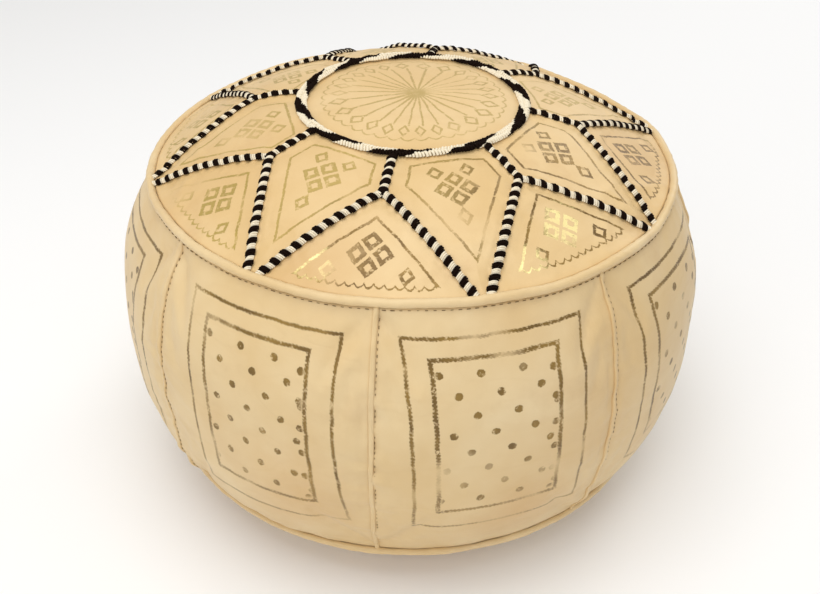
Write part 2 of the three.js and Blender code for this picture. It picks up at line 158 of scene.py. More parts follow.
def lattice_noise(u, v, cell, seed, around=None):
    """Smooth noise from -1 to 1, with cells of the given size. around is the length after which u repeats."""
    grid = np.random.default_rng(seed).uniform(-1, 1, NOISE_GRID)
    count = max(1, round(around / cell)) if around else NOISE_GRID[0]
    x, y = u / cell, v / cell
    i, j = np.floor(x).astype(int), np.floor(y).astype(int)
    fx, fy = x - i, y - j
    fx, fy = fx * fx * (3 - 2 * fx), fy * fy * (3 - 2 * fy)
    return between_four(lambda a, b: grid[(a % count) % NOISE_GRID[0], b % NOISE_GRID[1]], i, j, fx, fy)


# ---------- how the stuffed leather swells between its seams ----------


def swell_skin(name, points, pins, start_inset, cap, normals):
    """Cloth simulation of a skin held at its seams. Gives how far each point moved out, in mm."""
    rows, columns = points.shape[:2]
    inset = np.where(pins, 0, start_inset)[..., None]
    vertices = (points - normals * inset).reshape(-1, 3) * MM
    wrap = [(i, j, i + 1, (j + 1) % columns) for i in range(rows - 1) for j in range(columns)]
    faces = [(a * columns + b, a * columns + d, c * columns + d, c * columns + b) for a, b, c, d in wrap]
    mesh = bpy.data.meshes.new(name)
    mesh.from_pydata(vertices.tolist(), [], faces)
    skin = bpy.data.objects.new(name, mesh)
    bpy.context.scene.collection.objects.link(skin)
    held = skin.vertex_groups.new(name="seams")
    held.add([int(n) for n in np.flatnonzero(pins.reshape(-1))], 1.0, "REPLACE")
    cloth = skin.modifiers.new("cloth", "CLOTH")
    settings = cloth.settings
    settings.quality = 6
    settings.mass = 0.3
    settings.tension_stiffness = settings.compression_stiffness = 12
    settings.shear_stiffness = 4
    settings.bending_stiffness = 0.4
    settings.shrink_min = -0.012
    settings.use_pressure = True
    settings.uniform_pressure_force = 4.0
    settings.effector_weights.gravity = 0
    settings.vertex_group_mass = "seams"
    cloth.point_cache.frame_start, cloth.point_cache.frame_end = 1, 20
    for number in range(1, 21):
        bpy.context.scene.frame_set(number)
    result = skin.evaluated_get(bpy.context.evaluated_depsgraph_get()).to_mesh()
    moved = np.zeros(len(mesh.vertices) * 3)
    result.vertices.foreach_get("co", moved)
    moved = moved.reshape(rows, columns, 3) / MM
    out = ((moved - points) * normals).sum(-1)
    bpy.data.objects.remove(skin)
    bpy.context.scene.frame_set(1)
    return np.clip(out, -cap, cap)


def normals_of(surface, t, azimuth):
    return surface(t, azimuth, 1.0) - surface(t, azimuth, 0.0)


SKIN_COLUMNS = 320
skin_azimuths = np.arange(SKIN_COLUMNS) * 360 / SKIN_COLUMNS
side_skin_rows = np.linspace(BASE_RIM[1] + 3, TOP_RIM[1] - 3, 46)
crown_skin_rows = np.linspace(8, TOP_RIM[0] - 3, 40)


def swollen_side():
    z, azimuth = np.meshgrid(side_skin_rows, skin_azimuths, indexing="ij")
    pins = from_side_seam(azimuth) < 0.6
    pins[0], pins[-1] = True, True
    return swell_skin("side_skin", on_side(z, azimuth), pins, 3.0, 5.0, normals_of(on_side, z, azimuth))


def seam_distance(r, azimuth):
    """Millimetres from a point on the crown to its nearest braided seam."""
    a = np.radians((azimuth + SECTOR / 2) % SECTOR - SECTOR / 2)
    x, y = np.abs(r * np.sin(a)), r * np.cos(a)
    half = math.radians(SECTOR / 2)
    corners = [
        np.array([math.sin(half), math.cos(half)]) * RING_RADIUS,
        np.array([math.sin(half), math.cos(half)]) * FORK_RADIUS,
        np.array([TIP_HALF_WIDTH, TOP_RIM[0]]),
    ]
    best = np.abs(r - RING_RADIUS)
    for start, end in zip(corners, corners[1:]):
        along = end - start
        share = np.clip(((x - start[0]) * along[0] + (y - start[1]) * along[1]) / (along @ along), 0, 1)
        best = np.minimum(best, np.hypot(x - start[0] - share * along[0], y - start[1] - share * along[1]))
    return best


def swollen_crown():
    r, azimuth = np.meshgrid(crown_skin_rows, skin_azimuths, indexing="ij")
    pins = seam_distance(r, azimuth) < 2.6
    pins[-1] = True
    return swell_skin("crown_skin", on_crown(r, azimuth), pins, 2.0, 3.5, normals_of(on_crown, r, azimuth))


def looked_up(table, rows, t, azimuth):
    """The table's value at any row and azimuth, joined smoothly round the pouf."""
    if table is None:
        return 0 * (t + azimuth)
    x = np.interp(t, rows, np.arange(len(rows))) + 0 * azimuth
    y = (azimuth + 0 * t) / 360 * SKIN_COLUMNS
    i = np.clip(np.floor(x).astype(int), 0, len(rows) - 2)
    j = np.floor(y).astype(int)
    fx, fy = x - i, y - j
    return between_four(lambda a, b: table[a, b % SKIN_COLUMNS], i, j, fx, fy)


side_swell = swollen_side()
crown_swell = swollen_crown()


def side_relief(z, azimuth):
    """How far the side's leather stands out of its smooth surface, in mm."""
    around = 2 * math.pi * WIDEST[0]
    u = azimuth / 360 * around
    from_seam = from_side_seam(azimuth) / 360 * around
    under_rim = np.clip((TOP_RIM[1] - z) / 26, 0, 8)
    over_base = np.clip((z - BASE_RIM[1]) / 44, 0, 6)
    seam_valley = -1.5 * np.exp(-from_seam / 7)
    soft = 1.3 * lattice_noise(u, z, 62, 3, around) + 0.5 * lattice_noise(u, z, 27, 4, around)
    drift = 3 * lattice_noise(u, z, 30, 6, around)
    puckers = 0.9 * np.exp(-under_rim * 1.5) * lattice_noise(u + drift, z, 9, 5)
    folds = 1.5 * np.exp(-over_base) * lattice_noise(u + 0.35 * z, z * 0.3, 17, 8)
    seam_folds = 1.7 * np.exp(-from_seam / 18) * lattice_noise(u * 0.25, z + 0.5 * from_seam, 12, 9)
    held = np.clip((TOP_RIM[1] - z) / 9, 0, 1) * np.clip((z - BASE_RIM[1]) / 9, 0, 1)
    wrinkles = 0.9 * np.exp(-from_seam / 34) * lattice_noise(u * 0.16, z + 0.12 * u, 6.5, 18)
    relief = seam_valley + soft + puckers + folds + seam_folds + wrinkles * np.clip((250 - z) / 60, 0, 1)
    for middle, height, size in LOW_BULGES:
        away = turned_from(azimuth, middle)
        relief = relief + size * np.exp(-((away / 32) ** 2) - ((z - height) / 42) ** 2)
    return held * (relief + looked_up(side_swell, side_skin_rows, z, azimuth)) - 0.4


def crown_relief(r, azimuth):
    near = seam_distance(r, azimuth)
    a = np.radians(azimuth)
    x, y = r * np.sin(a), -r * np.cos(a)
    soft = 0.8 * lattice_noise(x + 500, y + 500, 47, 11)
    puckers = 0.7 * np.exp(-near / 6) * lattice_noise(x + 500, y + 500, 8, 12)
    rim = 1 - np.exp(-(TOP_RIM[0] - r) / 9)
    plump = 1.9 * (1 - np.exp(-near / 13)) - 1.2
    held = np.clip(rim * 1.4, 0, 1)
    return held * (plump + soft + puckers + 0.8 * looked_up(crown_swell, crown_skin_rows, r, azimuth))


def settled(points):
    """Points (mm) moved with the rim, which waves up and down and has sunk a little at the back."""
    points = np.asarray(points, float)
    azimuth = np.degrees(np.arctan2(points[:, 0], -points[:, 1]))
    around = 2 * math.pi * TOP_RIM[0]
    u = (azimuth % 360) / 360 * around
    wave = 1.3 * lattice_noise(u, 0 * u, 58, 14, around) + 0.5 * lattice_noise(u, 0 * u, 24, 15, around)
    sunk = 0 * u
    for middle, depth in RIM_SINKS:
        sunk = sunk + depth * np.exp(-((turned_from(azimuth, middle) / 34) ** 2))
    from_rim = np.hypot(np.hypot(points[:, 0], points[:, 1]) - TOP_RIM[0], points[:, 2] - TOP_RIM[1])
    points = points.copy()
    points[:, 2] += wave * np.exp(-((from_rim / 24) ** 2)) - sunk * np.exp(-((from_rim / 62) ** 2))
    return points


# ---------- meshes ----------
collection = bpy.context.scene.collection


def new_piece(name, vertices, faces, uvs, material):
    """A mesh object from points in mm. uvs holds one pair per vertex, in metres on the leather."""
    mesh = bpy.data.meshes.new(name)
    mesh.from_pydata((settled(vertices) * MM).tolist(), [], faces)
    if uvs is not None:
        layer = mesh.uv_layers.new(name="pattern")
        corners = np.zeros(len(mesh.loops), int)
        mesh.loops.foreach_get("vertex_index", corners)
        layer.data.foreach_set("uv", (np.asarray(uvs)[corners]).astype(np.float32).reshape(-1))
    mesh.polygons.foreach_set("use_smooth", [True] * len(mesh.polygons))
    mesh.materials.append(material)
    piece = bpy.data.objects.new(name, mesh)
    collection.objects.link(piece)
    return piece


def slab(name, outer, inner, uv, material):
    """A closed slab between two grids. The outer grid faces from its rows' direction to its columns'."""
    rows, columns = outer.shape[:2]
    index = np.arange(rows * columns).reshape(rows, columns)
    under = index + rows * columns
    a, b, c, d = index[:-1, :-1], index[:-1, 1:], index[1:, 1:], index[1:, :-1]
    faces = np.stack([a, d, c, b], -1).reshape(-1, 4).tolist()
    a, b, c, d = under[:-1, :-1], under[:-1, 1:], under[1:, 1:], under[1:, :-1]
    faces += np.stack([a, b, c, d], -1).reshape(-1, 4).tolist()
    top = np.concatenate([index[0], index[1:, -1], index[-1, -2::-1], index[-2:0:-1, 0]])
    low = np.concatenate([under[0], under[1:, -1], under[-1, -2::-1], under[-2:0:-1, 0]])
    after_top, after_low = np.roll(top, -1), np.roll(low, -1)
    faces += np.stack([top, after_top, after_low, low], -1).tolist()
    vertices = np.concatenate([outer.reshape(-1, 3), inner.reshape(-1, 3)])
    uvs = None if uv is None else np.concatenate([uv.reshape(-1, 2)] * 2)
    return new_piece(name, vertices, faces, uvs, material)


def turned_ring(name, section, columns, uv_scale, material, ripple=None):
    """A closed section of radius and height turned about Z. ripple(azimuth, angle) adds to its own radius."""
    centre = section.mean(0)
    azimuth = np.arange(columns) * 360 / columns
    a = np.radians(azimuth)[:, None]
    spokes = section - centre
    size = np.hypot(spokes[:, 0], spokes[:, 1])
    angle = np.arctan2(spokes[:, 1], spokes[:, 0])[None]
    grow = 1 if ripple is None else 1 + ripple(azimuth[:, None], angle) / size
    r = centre[0] + spokes[None, :, 0] * grow + 0 * a
    z = centre[1] + spokes[None, :, 1] * grow + 0 * a
    points = np.stack([r * np.sin(a), -r * np.cos(a), z], -1)
    count = len(section)
    index = np.arange(columns * count).reshape(columns, count)
    right, up = np.roll(index, -1, 0), np.roll(index, -1, 1)
    corner = np.roll(right, -1, 1)
    faces = np.stack([index, right, corner, up], -1).reshape(-1, 4).tolist()
    u = (azimuth[:, None] / 360 + 0 * r) * uv_scale
    v = np.arange(count)[None] / count * 0.02 + 0 * r
    return new_piece(name, points.reshape(-1, 3), faces, np.stack([u, v], -1).reshape(-1, 2), material)


# ---------- shader writing ----------


class Field:
    """A number that varies over a surface, written with ordinary sums. Each sum is one Math node."""

    def __init__(self, nodes, socket):
        self.nodes, self.socket = nodes, socket

    def make(self, operation, *others, clamp=False):
        node = self.nodes.new("ShaderNodeMath")
        node.operation, node.use_clamp = operation, clamp
        links = self.nodes.id_data.links
        for slot, value in zip(node.inputs, (self, *others)):
            if isinstance(value, Field):
                links.new(value.socket, slot)
            else:
                slot.default_value = value
        return Field(self.nodes, node.outputs[0])

    def __add__(self, other):
        return self.make("ADD", other)

    def __sub__(self, other):
        return self.make("SUBTRACT", other)

    def __mul__(self, other):
        return self.make("MULTIPLY", other)

    def __truediv__(self, other):
        return self.make("DIVIDE", other)

    def least(self, other):
        return self.make("MINIMUM", other)

    def most(self, other):
        return self.make("MAXIMUM", other)

    def __abs__(self):
        return self.make("ABSOLUTE")

    def sine(self):
        return self.make("SINE")

    def floor(self):
        return self.make("FLOOR")

    def root(self):
        return self.make("SQRT")

    def ink(self, soft=0.5):
        """1 where the number is below zero and 0 above, over a soft edge."""
        return (self * (-1 / soft)).make("ADD", 0.5, clamp=True)


def length(x, y):
    return (x * x + y * y).root()


class Surface:
    """One material under construction."""

    def __init__(self, name):
        self.material = bpy.data.materials.new(name)
        self.material.use_nodes = True
        self.tree = self.material.node_tree
        self.nodes, self.links = self.tree.nodes, self.tree.links
        self.shader = self.nodes["Principled BSDF"]
        self.place = self.nodes.new("ShaderNodeTexCoord").outputs["Object"]

    def field(self, socket):
        return Field(self.nodes, socket)

    def noise(self, scale, detail=3.0, roughness=0.5, stretch=None, distortion=0.0):
        node = self.nodes.new("ShaderNodeTexNoise")
        node.inputs["Scale"].default_value = scale
        node.inputs["Detail"].default_value = detail
        node.inputs["Roughness"].default_value = roughness
        node.inputs["Distortion"].default_value = distortion
        source = self.place
        if stretch:
            mapping = self.nodes.new("ShaderNodeMapping")
            mapping.inputs["Scale"].default_value = stretch
            self.links.new(source, mapping.inputs["Vector"])
            source = mapping.outputs["Vector"]
        self.links.new(source, node.inputs["Vector"])
        return self.field(node.outputs["Fac"])

    def cells(self, scale):
        node = self.nodes.new("ShaderNodeTexVoronoi")
        node.feature = "DISTANCE_TO_EDGE"
        node.inputs["Scale"].default_value = scale
        self.links.new(self.place, node.inputs["Vector"])
        return self.field(node.outputs["Distance"])

    def pattern_place(self):
        """The piece's own pattern map, in mm, with the small wander of a stamping tool held by hand."""
        node = self.nodes.new("ShaderNodeUVMap")
        node.uv_map = "pattern"
        split = self.nodes.new("ShaderNodeSeparateXYZ")
        self.links.new(node.outputs["UV"], split.inputs[0])
        x, y = self.field(split.outputs[0]) * 1000.0, self.field(split.outputs[1]) * 1000.0
        for scale, reach in ((55, 2.6), (650, 1.5)):
            wander = self.nodes.new("ShaderNodeTexNoise")
            wander.inputs["Scale"].default_value = scale
            wander.inputs["Detail"].default_value = 1.0
            self.links.new(self.place, wander.inputs["Vector"])
            parts = self.nodes.new("ShaderNodeSeparateColor")
            self.links.new(wander.outputs["Color"], parts.inputs[0])
            x = x + (self.field(parts.outputs[0]) - 0.5) * reach
            y = y + (self.field(parts.outputs[1]) - 0.5) * reach
        return x, y

    def near(self, centre, reach):
        """1 at a point in mm, falling to 0 at reach from it."""
        node = self.nodes.new("ShaderNodeVectorMath")
        node.operation = "DISTANCE"
        self.links.new(self.place, node.inputs[0])
        node.inputs[1].default_value = Vector(centre) * MM
        away = self.field(node.outputs["Value"])
        return (away * (-1 / (reach * MM))).make("ADD", 1.0, clamp=True)

    def attribute(self, name):
        node = self.nodes.new("ShaderNodeAttribute")
        node.attribute_name = name
        return self.field(node.outputs["Fac"])

    def ramp(self, factor, stops):
        node = self.nodes.new("ShaderNodeValToRGB")
        while len(node.color_ramp.elements) < len(stops):
            node.color_ramp.elements.new(0.5)
        for element, (place, colour) in zip(node.color_ramp.elements, stops):
            element.position, element.color = place, (*colour, 1)
        self.links.new(factor.socket, node.inputs["Fac"])
        return node.outputs["Color"]

    def mix(self, factor, first, second):
        node = self.nodes.new("ShaderNodeMix")
        node.data_type = "RGBA"
        for slot, value in zip((node.inputs[0], node.inputs[6], node.inputs[7]), (factor, first, second)):
            if isinstance(value, Field):
                self.links.new(value.socket, slot)
            elif isinstance(value, bpy.types.NodeSocket):
                self.links.new(value, slot)
            else:
                slot.default_value = value if isinstance(value, float) else (*value, 1)
        return node.outputs[2]

    def bump(self, heights):
        """heights is a list of (field, distance in mm), the first lowest in the chain."""
        normal = None
        for height, distance in heights:
            node = self.nodes.new("ShaderNodeBump")
            node.inputs["Strength"].default_value = 1.0
            node.inputs["Distance"].default_value = distance * MM
            self.links.new(height.socket, node.inputs["Height"])
            if normal:
                self.links.new(normal, node.inputs["Normal"])
            normal = node.outputs["Normal"]
        self.links.new(normal, self.shader.inputs["Normal"])

    def set(self, **values):
        for name, value in values.items():
            slot = self.shader.inputs[name.replace("_", " ")]
            if isinstance(value, Field):
                self.links.new(value.socket, slot)
            elif isinstance(value, bpy.types.NodeSocket):
                self.links.new(value, slot)
            else:
                slot.default_value = value


# Linear colours.
PALE_HIDE = (0.665, 0.480, 0.240)
CREAM_HIDE = (0.75, 0.595, 0.355)
HONEY_HIDE = (0.58, 0.355, 0.14)
CROWN_HIDE = (0.66, 0.455, 0.205)
CROWN_CREAM = (0.745, 0.555, 0.30)
# a dark brown for stains, also used for the painted shade along the creases
STAIN_AND_CREASE_SHADE = (0.42, 0.22, 0.08)
PALE_FOIL = (0.47, 0.335, 0.085)
FOIL = (0.27, 0.160, 0.030)
DULL_FOIL = (0.135, 0.072, 0.012)
# painted highlight: a light gold that stands in for a glint of lamp light on the foil
PAINTED_GLINT_FOIL = (0.95, 0.80, 0.36)
FOIL_SHINE = 0.35


def leather(name, foil=None, pale=PALE_HIDE, cream=CREAM_HIDE, gloss=0.48, stained=0.45, pressed=1.0,
            pale_foil=0.0, painted_dark_reflections=(), painted_glints=(), stains=()):
    """Vegetable-tanned hide with mottling, creases and grain, and painted shade along the creases.
    foil(surface) gives the stamping's mask.
    pressed is how strongly the foil took and pale_foil how light the foil is, except near
    painted_dark_reflections, where a darker reflection is painted on the foil. painted_glints holds spots
    with a painted highlight of lamp light on the foil, and stains holds spots of the hide, each a place in mm
    and a reach."""
    s = Surface(name)
    mottle = s.noise(7, 4, 0.6)
    tone = s.mix(((mottle - 0.42) * 3.2).make("ADD", 0.0, clamp=True), pale, cream)
    warm = ((s.noise(5.2, 4, 0.5) - 0.50) * 3.2).make("ADD", 0.0, clamp=True)
    tone = s.mix(warm * stained, tone, HONEY_HIDE)
    blotch = ((s.noise(15, 5, 0.6) - 0.58) * 4.0).make("ADD", 0.0, clamp=True)
    tone = s.mix(blotch * (0.30 * stained / 0.45), tone, STAIN_AND_CREASE_SHADE)
    for centre, reach in stains:
        spot = (s.near(centre, reach) + s.noise(26, 4, 0.6) * 0.9 - 0.62).make("ADD", 0.0, clamp=True)
        tone = s.mix(spot * 0.75, tone, HONEY_HIDE)
    crease = abs(s.noise(11, 2, 0.5, stretch=(1, 1, 2.6), distortion=0.35) - 0.5) * 2
    fine = abs(s.noise(70, 4, 0.6) - 0.5) * 2
    crease_line = (crease * 14).make("SUBTRACT", 0.0, clamp=True)
    # painted shade: the hide's colour is darkened a little along the creases
    tone = s.mix(((crease_line * -1) + 1) * 0.035, tone, STAIN_AND_CREASE_SHADE)
    grain = s.cells(620)
    pores = s.noise(900, 2)
    heights = [(crease_line, 0.07), (s.noise(38, 3, 0.55), 0.8), (fine, 0.12), (grain, 0.05), (pores, 0.03)]
    rough = mottle * 0.18 + gloss - 0.06
    metal = None
    if foil:
        mask = foil(s)
        worn = ((s.noise(260, 3, 0.7) - 0.30) * 6).make("ADD", 0.0, clamp=True)
        patchy = ((s.noise(17, 3, 0.6) - 0.38) * 5).make("ADD", 0.45, clamp=True)
        mask = (mask * worn * patchy * pressed).make("ADD", 0.0, clamp=True)
        shade = s.ramp(s.noise(40, 2), [(0.36, DULL_FOIL), (0.64, FOIL)])
        if pale_foil:
            lightness = s.noise(14, 2) * 0.4 + (pale_foil - 0.2)
            for centre, reach in painted_dark_reflections:
                # painted shade: near these places the foil colour is darkened, standing in for a darker
                # reflection on the metallic foil
                lightness = lightness - s.near(centre, reach) * 1.6
            shade = s.mix(lightness.make("ADD", 0.0, clamp=True), shade, PALE_FOIL)
        # painted highlight: at these spots the foil colour is lightened, standing in for the lamps' glint on
        # the metallic foil
        shine = None
        for centre, reach in painted_glints:
            spot = (s.near(centre, reach) * s.noise(330, 3, 0.8) * 6 - 0.9).make("ADD", 0.0, clamp=True)
            shine = spot if shine is None else shine.most(spot)
        if shine:
            shade = s.mix(shine, shade, PAINTED_GLINT_FOIL)
        tone = s.mix(mask * 0.95, tone, shade)
        rough = rough * ((mask * -1) + 1) + mask * 0.42
        metal = mask * FOIL_SHINE
        heights.append((mask * -1, 0.14))
    s.bump(heights)
    s.set(Base_Color=tone, Roughness=rough)
    if metal:
        s.set(Metallic=metal)
    s.set(Sheen_Weight=0.06, Specular_IOR_Level=0.4)
    return s.material


def diamond(x, y, half_x, half_y, hollow=0.44):
    """Ink of a hollow diamond about the origin, from its taxicab distance."""
    reach = abs(x) / half_x + abs(y) / half_y
    size = min(half_x, half_y)
    outside = ((reach - 1) * size).ink()
    inside = ((reach * -1 + hollow) * size).ink()
    return outside * inside


def four_diamonds(x, y, offset, half):
    px, py = abs(x), abs(y)
    first = diamond(px - offset, py, half, half)
    second = diamond(px, py - offset, half, half)
    return first.most(second)


def line(distance, half_width=0.9):
    return (abs(distance) - half_width).ink()


def scallops(s, x, y, radius, count, depth):
    """A row of outward arcs on a circle."""
    angle = y.make("ARCTAN2", x) * (count / (2 * math.pi))
    part = (angle - angle.floor() - 0.5) * (2 * math.pi * radius / count)
    reach = length(x, y) - radius
    bow = math.pi * radius / count
    arc = reach - (abs(part) * (1 / bow)) * (abs(part) * (1 / bow)) * -depth - depth
    return line(arc, 0.75)


def medallion_foil(s):
    x, y = s.pattern_place()
    spokes = 26
    fan = 2 * math.pi / spokes
    x, y = x - 1.5, y + 3.0
    star_x, star_y = x - 3.5, y + 1.2
    radius = length(x, y)
    spread = lambda turn: (turn * (fan * 3) + 1).sine() * 0.30
    inner = star_x.make("ARCTAN2", star_y) / fan
    outer = x.make("ARCTAN2", y) / fan
    inner, outer = inner + spread(inner), outer + spread(outer)
    off_spoke = (inner - inner.floor() - 0.5) * fan * radius
    off_diamond = (outer - outer.floor() - 0.5) * fan * radius
    spoke = line(off_spoke, 0.85) * (radius - 56).ink()
    point = diamond(off_diamond, radius - 63.5, 5.8, 8.6, 0.60)
    from_blot = length(star_x, star_y)
    blot = (from_blot - 3 - s.noise(90, 3) * 12).ink(7)
    return spoke.most(point).most(blot * 0.9).most(scallops(s, x, y, 73.5, 42, 3.4))


def kite_outline(x, y, stem_inset, arm_inset, ring_radius):
    """Distance in mm outside a line that follows a kite's seams, inset from each."""
    half = math.radians(SECTOR / 2)
    px = abs(x)
    stem = px * math.cos(half) - y * math.sin(half) + stem_inset
    fork = (FORK_RADIUS * math.sin(half), FORK_RADIUS * math.cos(half))
    run = (TIP_HALF_WIDTH - fork[0], TOP_RIM[0] - fork[1])
    size = math.hypot(*run)
    arm = (px - fork[0]) * (run[1] / size) - (y - fork[1]) * (run[0] / size) + arm_inset
    return stem.most(arm).most(y * -1 + ring_radius)


def kite_foil(s):
    x, y = s.pattern_place()
    outline = line(kite_outline(x, y, 13.0, 16.0, 102.5), 1.0)
    cluster = four_diamonds(x, y - 132, 9.7, 8.0)
    pair = diamond(abs(x) - 12.5, y - 114, 6.6, 7.2, 0.5)
    tip = diamond(x, y - 158, 6.6, 8.2, 0.5)
    return outline.most(cluster).most(pair).most(tip)


def triangle_foil(s):
    x, y = s.pattern_place()
    px = abs(x)
    spread = math.radians(SECTOR / 2 - float(kite_half_angle(TOP_RIM[0])[0]))
    run = (TOP_RIM[0] * math.sin(spread), TOP_RIM[0] * math.cos(spread) - FORK_RADIUS)
    size = math.hypot(*run)
    arm = px * (run[1] / size) - (y - FORK_RADIUS) * (run[0] / size)
    sides = line(arm + 14.5, 1.0) * (y - 200).ink()
    cluster = four_diamonds(x, y - 184.5, 9.7, 8.0)
    pair = diamond(px - 28.5, y - 197, 6.6, 7.0, 0.5)
    edge = scallops(s, y, x, 205.5, 180, 2.8) * (px - 51).ink()
    return sides.most(cluster).most(pair).most(edge)


def side_foil(s):
    x, y = s.pattern_place()

    def roped(x, y, half_x, half_y, width):
        distance = (abs(x) - half_x).most(abs(y) - half_y)
        twist = ((x + y) * (2 * math.pi / 3.1) + distance * 1.6).sine()
        strand = (abs(distance) - width).ink(0.6)
        core = (abs(distance) - width * 0.6).ink(0.5)
        return (strand * (twist * 0.6 + 0.75).make("ADD", 0.0, clamp=True)).most(core)

    outer = roped(x, y, 68.0, 89.6, 1.45)
    x, y = x + 2.1, y - 4.6
    inner = roped(x, y, 47.6, 69.6, 1.8)
    across, down, step = 31.0, 16.4, 12.8
    row = (y * -1 + 58) / down
    nearest = (row + 0.5).floor()
    column = (x + 12 - nearest * step) / across
    column = column - (column + 0.5).floor()
    dot = length(column * across, (row - nearest) * down)
    edge_row = (y + 6) / 23.5
    edge_dot = length(x - 43, (edge_row - edge_row.floor() - 0.5) * 23.5)
    dots = (dot.least(edge_dot) - 3.1).ink(0.7) * (abs(x) - 45).ink(3) * (abs(y) - 65).ink(3)
    fade = (y * 0.004 + 0.92).make("ADD", 0.0, clamp=True)
    return outer.most(inner).most(dots) * fade


def thread_material(name, dark, light, band):
    """band(surface) is 1 where the thread is dark."""
    s = Surface(name)
    dark_part = band(s)
    fuzz = s.noise(1500, 2)
    light_tone = s.mix(fuzz, light, tuple(c * 0.78 for c in light))
    dark_tone = s.mix(fuzz, dark, tuple(c * 1.8 for c in dark))
    s.bump([(s.noise(2600, 2), 0.12)])
    s.set(Base_Color=s.mix(dark_part, light_tone, dark_tone), Roughness=0.92, Specular_IOR_Level=0.06)
    return s.material


WHITE_THREAD, BLACK_THREAD = (0.90, 0.80, 0.61), (0.0060, 0.0026, 0.0014)


def seam_band(s):
    place = s.attribute("place")
    turn = place / SEAM_REPEAT
    return (abs(turn - turn.floor() - 0.5) * SEAM_REPEAT - BLACK_HALF).ink(0.2)


def ring_band(s):
    turn = s.attribute("place") / RING_REPEAT - s.attribute("across") * 0.26
    return ((turn - turn.floor() - 0.5) * RING_REPEAT).ink(0.3)


def on_triangle(middle, out, across):
    """A point in mm on the crown, out from the axis and across from the middle line of a triangle."""
    return on_crown(out, middle + math.degrees(across / out))


# places on the crown where the foil is painted darker, standing in for a darker reflection on it
painted_dark_reflection_spots = [((95.0, -160.0, 312.0), 175), ((-75.0, -180.0, 312.0), 80), ((178.0, -75.0, 312.0), 75)]
crown_look = {
    "pale": CROWN_HIDE, "cream": CROWN_CREAM, "stained": 0.62, "pale_foil": 0.95, "painted_dark_reflections": painted_dark_reflection_spots,
}
beside_cluster, outer_corner = (184, 6), (200, -39)  # out and across, where glints of lamp light are painted on the foil
# spots on the triangles where a glint of lamp light is painted on the foil
painted_glint_spots = [
    (on_triangle(SECTOR / 2, *beside_cluster), 36),
    (on_triangle(SECTOR / 2, *outer_corner), 26),
    (on_triangle(-SECTOR / 2, *outer_corner), 24),
]
crown_stains = [(on_triangle(-SECTOR / 2, *outer_corner), 70), (on_triangle(1.5 * SECTOR, 184, 0), 80)]
hand_marks = [((-135.0, -210.0, 128.0), 75), ((28.0, -248.0, 100.0), 60), ((170.0, 150.0, 210.0), 70)]
side_leather = leather("foiled side leather", side_foil, pressed=1.3, stains=hand_marks)
kite_leather = leather("foiled kite leather", kite_foil, pressed=0.90, **crown_look)
triangle_leather = leather("foiled triangle leather", triangle_foil, painted_glints=painted_glint_spots, stains=crown_stains,
                           **crown_look)
medallion_leather = leather("foiled medallion leather", medallion_foil, pressed=0.75, pale=CROWN_HIDE,
                            cream=CROWN_CREAM, stained=0.35, pale_foil=0.85)
piping_leather = leather("piping leather", gloss=0.44)
base_leather = leather("base leather", gloss=0.6, pale=(0.62, 0.42, 0.21))
seam_thread = thread_material("black and white seam thread", BLACK_THREAD, WHITE_THREAD, seam_band)
ring_thread = thread_material("black and white ring thread", BLACK_THREAD, WHITE_THREAD, ring_band)
stitch_thread = thread_material(
    "brown stitch thread", (0.10, 0.06, 0.03), (0.24, 0.15, 0.07), lambda s: s.noise(60, 1)
)


def brass_material():
    s = Surface("worn zip brass")
    scuff = s.noise(900, 4, 0.7, stretch=(1, 5, 1))
    s.bump([(scuff, 0.05)])
    tone = s.ramp(s.noise(240, 3), [(0.3, (0.36, 0.22, 0.07)), (0.7, (0.62, 0.43, 0.17))])
    s.set(Base_Color=tone, Metallic=1.0, Roughness=scuff * 0.3 + 0.18)
    return s.material


def woven_material(name, tone):
    s = Surface(name)
    split = s.nodes.new("ShaderNodeSeparateXYZ")
    s.links.new(s.place, split.inputs[0])
    x, y = s.field(split.outputs[0]), s.field(split.outputs[1])
    weave = (x * 5200).sine() * (y * 5200).sine()
    s.bump([(weave, 0.12)])
    shade = s.mix(weave * 0.5 + 0.5, tone, tuple(c * 0.66 for c in tone))
    s.set(Base_Color=shade, Roughness=0.85, Sheen_Weight=0.2)
    return s.material


def plastic_material():
    s = Surface("moulded coil plastic")
    s.bump([(s.noise(1200, 2), 0.03)])
    tone = s.mix(s.noise(60, 2), (0.45, 0.32, 0.15), (0.58, 0.43, 0.22))
    s.set(Base_Color=tone, Roughness=0.42)
    return s.material


def batting_material():
    s = Surface("cotton stuffing")
    s.bump([(s.noise(60, 6, 0.7), 2.0), (s.noise(500, 3), 0.5)])
    tone = s.mix(s.noise(20, 4), (0.62, 0.57, 0.46), (0.78, 0.74, 0.64))
    s.set(Base_Color=tone, Roughness=0.95, Sheen_Weight=0.3)
    return s.material


brass, zip_tape = brass_material(), woven_material("woven zip tape", (0.60, 0.45, 0.24))
piping_cord = woven_material("twisted piping cord", (0.70, 0.63, 0.48))
coil_plastic, batting = plastic_material(), batting_material()

# ---------- threads: one tree wraps, stitches and coils ----------


